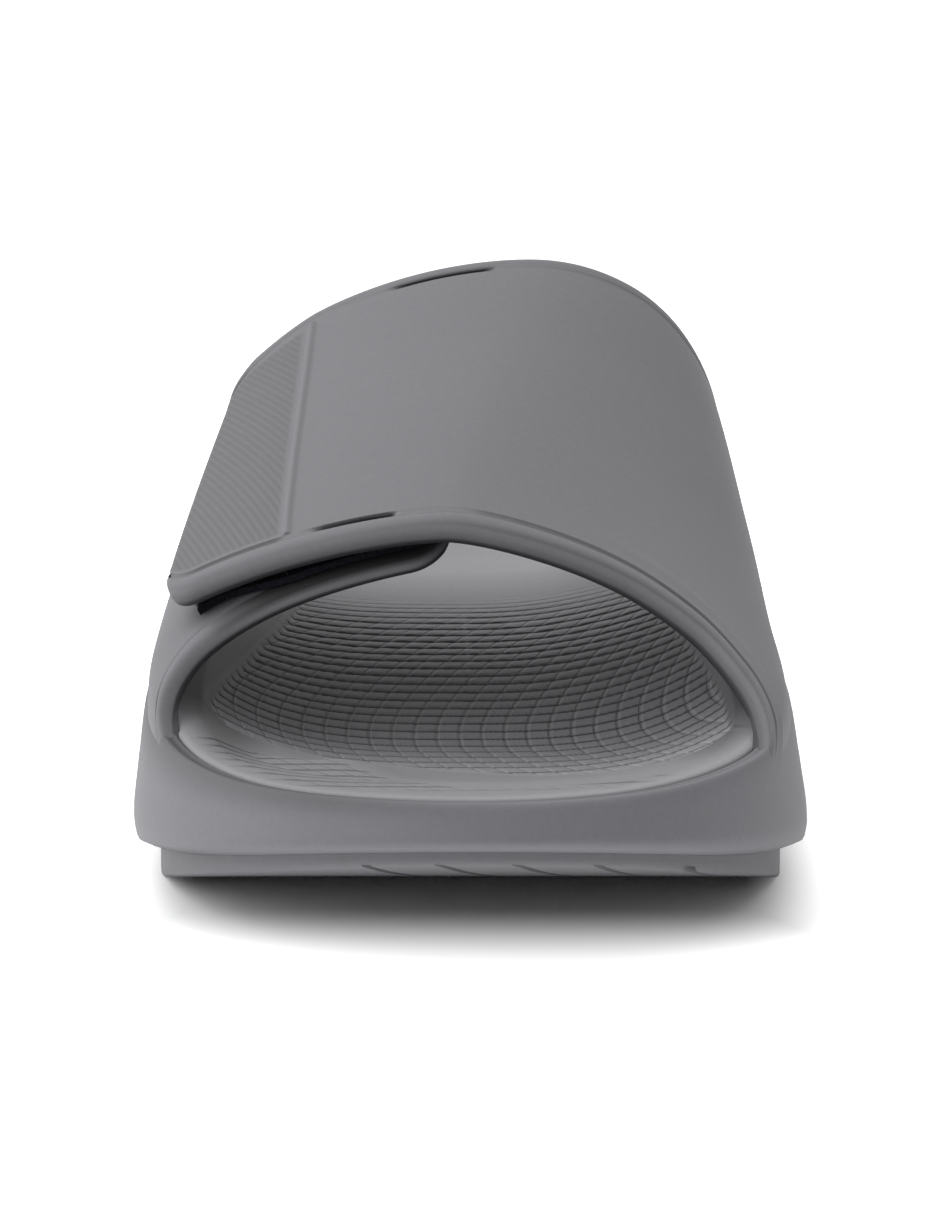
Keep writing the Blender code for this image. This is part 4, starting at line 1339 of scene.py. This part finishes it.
def makeTape(name, surface, span, depths, count, height, width, node):
    steps = tape["widthSteps"]
    across = np.linspace(0, 1, steps)
    grid = []
    for turn in np.linspace(*span, tape["lengthSteps"]):
        t = np.full(steps, turn)
        ruffle = tape["ruffle"] * rng.standard_normal(steps)
        upper = tapePoint(surface, t, across, np.full(steps, depths[0]) + ruffle)
        lower = tapePoint(surface, t, across[::-1], np.full(steps, depths[1]))
        grid.append(np.concatenate([upper, lower]))
    points = np.concatenate(grid)
    faces = stripFaces(grid, steps)
    # loops of thread that stand on the outer face
    turn = rng.uniform(span[0] + tape["endFree"], span[1] - tape["endFree"], count)
    place = rng.uniform(tape["sideFree"], 1 - tape["sideFree"], count)
    base = tapePoint(surface, turn, place, np.full(count, depths[0]))
    out = tapePoint(surface, turn, place, np.full(count, depths[0] - (depths[1] - depths[0]))) - base
    out /= np.linalg.norm(out, axis=1)[:, None]
    if depths[0] > depths[1]:
        out = -out
    lean = rng.standard_normal((count, 3))
    lean -= (lean * out).sum(1)[:, None] * out
    lean /= np.linalg.norm(lean, axis=1)[:, None]
    tall = height * rng.uniform(tape["smallest"], 1.0, count)[:, None]
    wide = width * rng.uniform(tape["smallest"], 1.0, count)[:, None]
    routes = []
    for angle in np.linspace(0, math.pi, tape["threadSteps"]):
        routes.append(base + out * tall * math.sin(angle) + lean * wide * (0.5 - 0.5 * math.cos(angle)))
    threadPoints, threadFaces = threadMesh(np.stack(routes, 1), tape["threadRadius"])
    faces = outwardFaces(points, faces) + (threadFaces + len(points)).tolist()
    return addPiece(name, np.concatenate([points, threadPoints]), faces, closureTape, [node])


loopSpan, hookSpan = (tape["loopStart"], tape["loopEnd"]), (tape["hookStart"], tape["hookEnd"])
loopTop = -shoe["gap"] - strap["loop"]
hookTop = strap["overWall"] + shoe["gap"]
makeTape("loop_tape_dressed", underVault, loopSpan, (loopTop, -shoe["gap"]), tape["loops"],
         tape["loopHeight"], tape["loopWidth"], "loop_tape")
makeTape("hook_tape_dressed", overVault, hookSpan, (hookTop, hookTop + strap["hook"]), tape["hooks"],
         tape["hookHeight"], tape["hookHeight"], "hook_tape")
print("tapes made")

# Floor, light and camera

studio = {
    "floorSize": 6.0,
    "floorColor": (0.90, 0.90, 0.90),
    "glowAhead": (0.090, 0.138),  # painted light: the floor glows between these distances from the shoe's middle, so its cast shadow turns to white
    "glowAside": (0.046, 0.074),
    "glowEnd": (0.150, 0.230),
    "glowSideEnd": (0.080, 0.110),
    "paleGlow": 0.8,
    "floorRoughness": 0.8,
    "floorSpecular": 0.1,
    "worldColor": (1.0, 1.0, 1.0),
    "worldStrength": 0.66,
    "keyFrom": (-1.0, 0.0, 0.62),
    "keyPower": 3.3,
    "keyAngle": math.radians(95),
    "topFrom": (0.25, 0.5, 1.0),
    "topPower": 1.2,
    "topAngle": math.radians(80),
    "cameraDistance": 1.150,
    "cameraHeight": 0.045,  # the height of the point that the camera circles
    "cameraAngle": math.radians(10.5),
    "focalPixels": 6380.0,
    "imageHeight": 1215,
    "aimRow": 545.9,
}


def makeFloor():
    half = studio["floorSize"] / 2
    mesh = bpy.data.meshes.new("floor")
    corners = [(-half, -half, 0), (half, -half, 0), (half, half, 0), (-half, half, 0)]
    mesh.from_pydata(corners, [], [(0, 1, 2, 3)])
    floor = bpy.data.objects.new("floor", mesh)
    bpy.context.collection.objects.link(floor)
    material, tree, shader = newMaterial("paleGlowFloor", studio["floorSpecular"])
    shader.inputs["Base Color"].default_value = (*studio["floorColor"], 1)
    shader.inputs["Roughness"].default_value = studio["floorRoughness"]
    # painted light: a glow on the floor that rises past the shoe's near edges and fades out farther off, so
    # the cast shadow ends sooner
    place = tree.nodes.new("ShaderNodeNewGeometry")
    split = tree.nodes.new("ShaderNodeSeparateXYZ")
    tree.links.new(place.outputs["Position"], split.inputs["Vector"])
    ahead = multiply(tree, split.outputs["Y"], -1.0)
    aside = mathNode(tree, "ABSOLUTE", split.outputs["X"])
    pale = [subtract(tree, 1.0, stepDown(tree, ahead, *studio["glowAhead"])),
            subtract(tree, 1.0, stepDown(tree, aside, *studio["glowAside"]))]
    near = multiply(tree, mathNode(tree, "MAXIMUM", *pale), stepDown(tree, ahead, *studio["glowEnd"]))
    near = multiply(tree, near, stepDown(tree, aside, *studio["glowSideEnd"]))
    tree.links.new(near, shader.inputs["Emission Color"])
    shader.inputs["Emission Strength"].default_value = studio["paleGlow"]
    mesh.materials.append(material)


def addSoftLight(name, source, power, angle):
    light = bpy.data.lights.new(name, "SUN")
    light.energy = power
    light.angle = angle
    lamp = bpy.data.objects.new(name, light)
    lamp.location = source
    lamp.rotation_euler = Vector(source).to_track_quat("Z", "Y").to_euler()
    bpy.context.collection.objects.link(lamp)


def makeCamera():
    camera = bpy.data.cameras.new("photoCamera")
    camera.sensor_fit = "VERTICAL"
    camera.sensor_height = 36.0
    camera.lens = studio["focalPixels"] / studio["imageHeight"] * camera.sensor_height
    eye = bpy.data.objects.new("photoCamera", camera)
    distance, tilt = studio["cameraDistance"], studio["cameraAngle"]
    eye.location = (0, -distance * math.cos(tilt), studio["cameraHeight"] + distance * math.sin(tilt))
    aim = math.atan((studio["imageHeight"] / 2 - studio["aimRow"]) / studio["focalPixels"])
    eye.rotation_euler = (math.pi / 2 - tilt - aim, 0, 0)
    bpy.context.collection.objects.link(eye)
    bpy.context.scene.camera = eye


def makeWorld():
    world = bpy.data.worlds.new("studioWorld")
    world.use_nodes = True
    background = world.node_tree.nodes["Background"]
    background.inputs["Color"].default_value = (*studio["worldColor"], 1)
    background.inputs["Strength"].default_value = studio["worldStrength"]
    bpy.context.scene.world = world
    bpy.context.scene.view_settings.view_transform = "Standard"


makeFloor()
makeWorld()
addSoftLight("keyLight", studio["keyFrom"], studio["keyPower"], studio["keyAngle"])
addSoftLight("topLight", studio["topFrom"], studio["topPower"], studio["topAngle"])
makeCamera()
print("studio set")
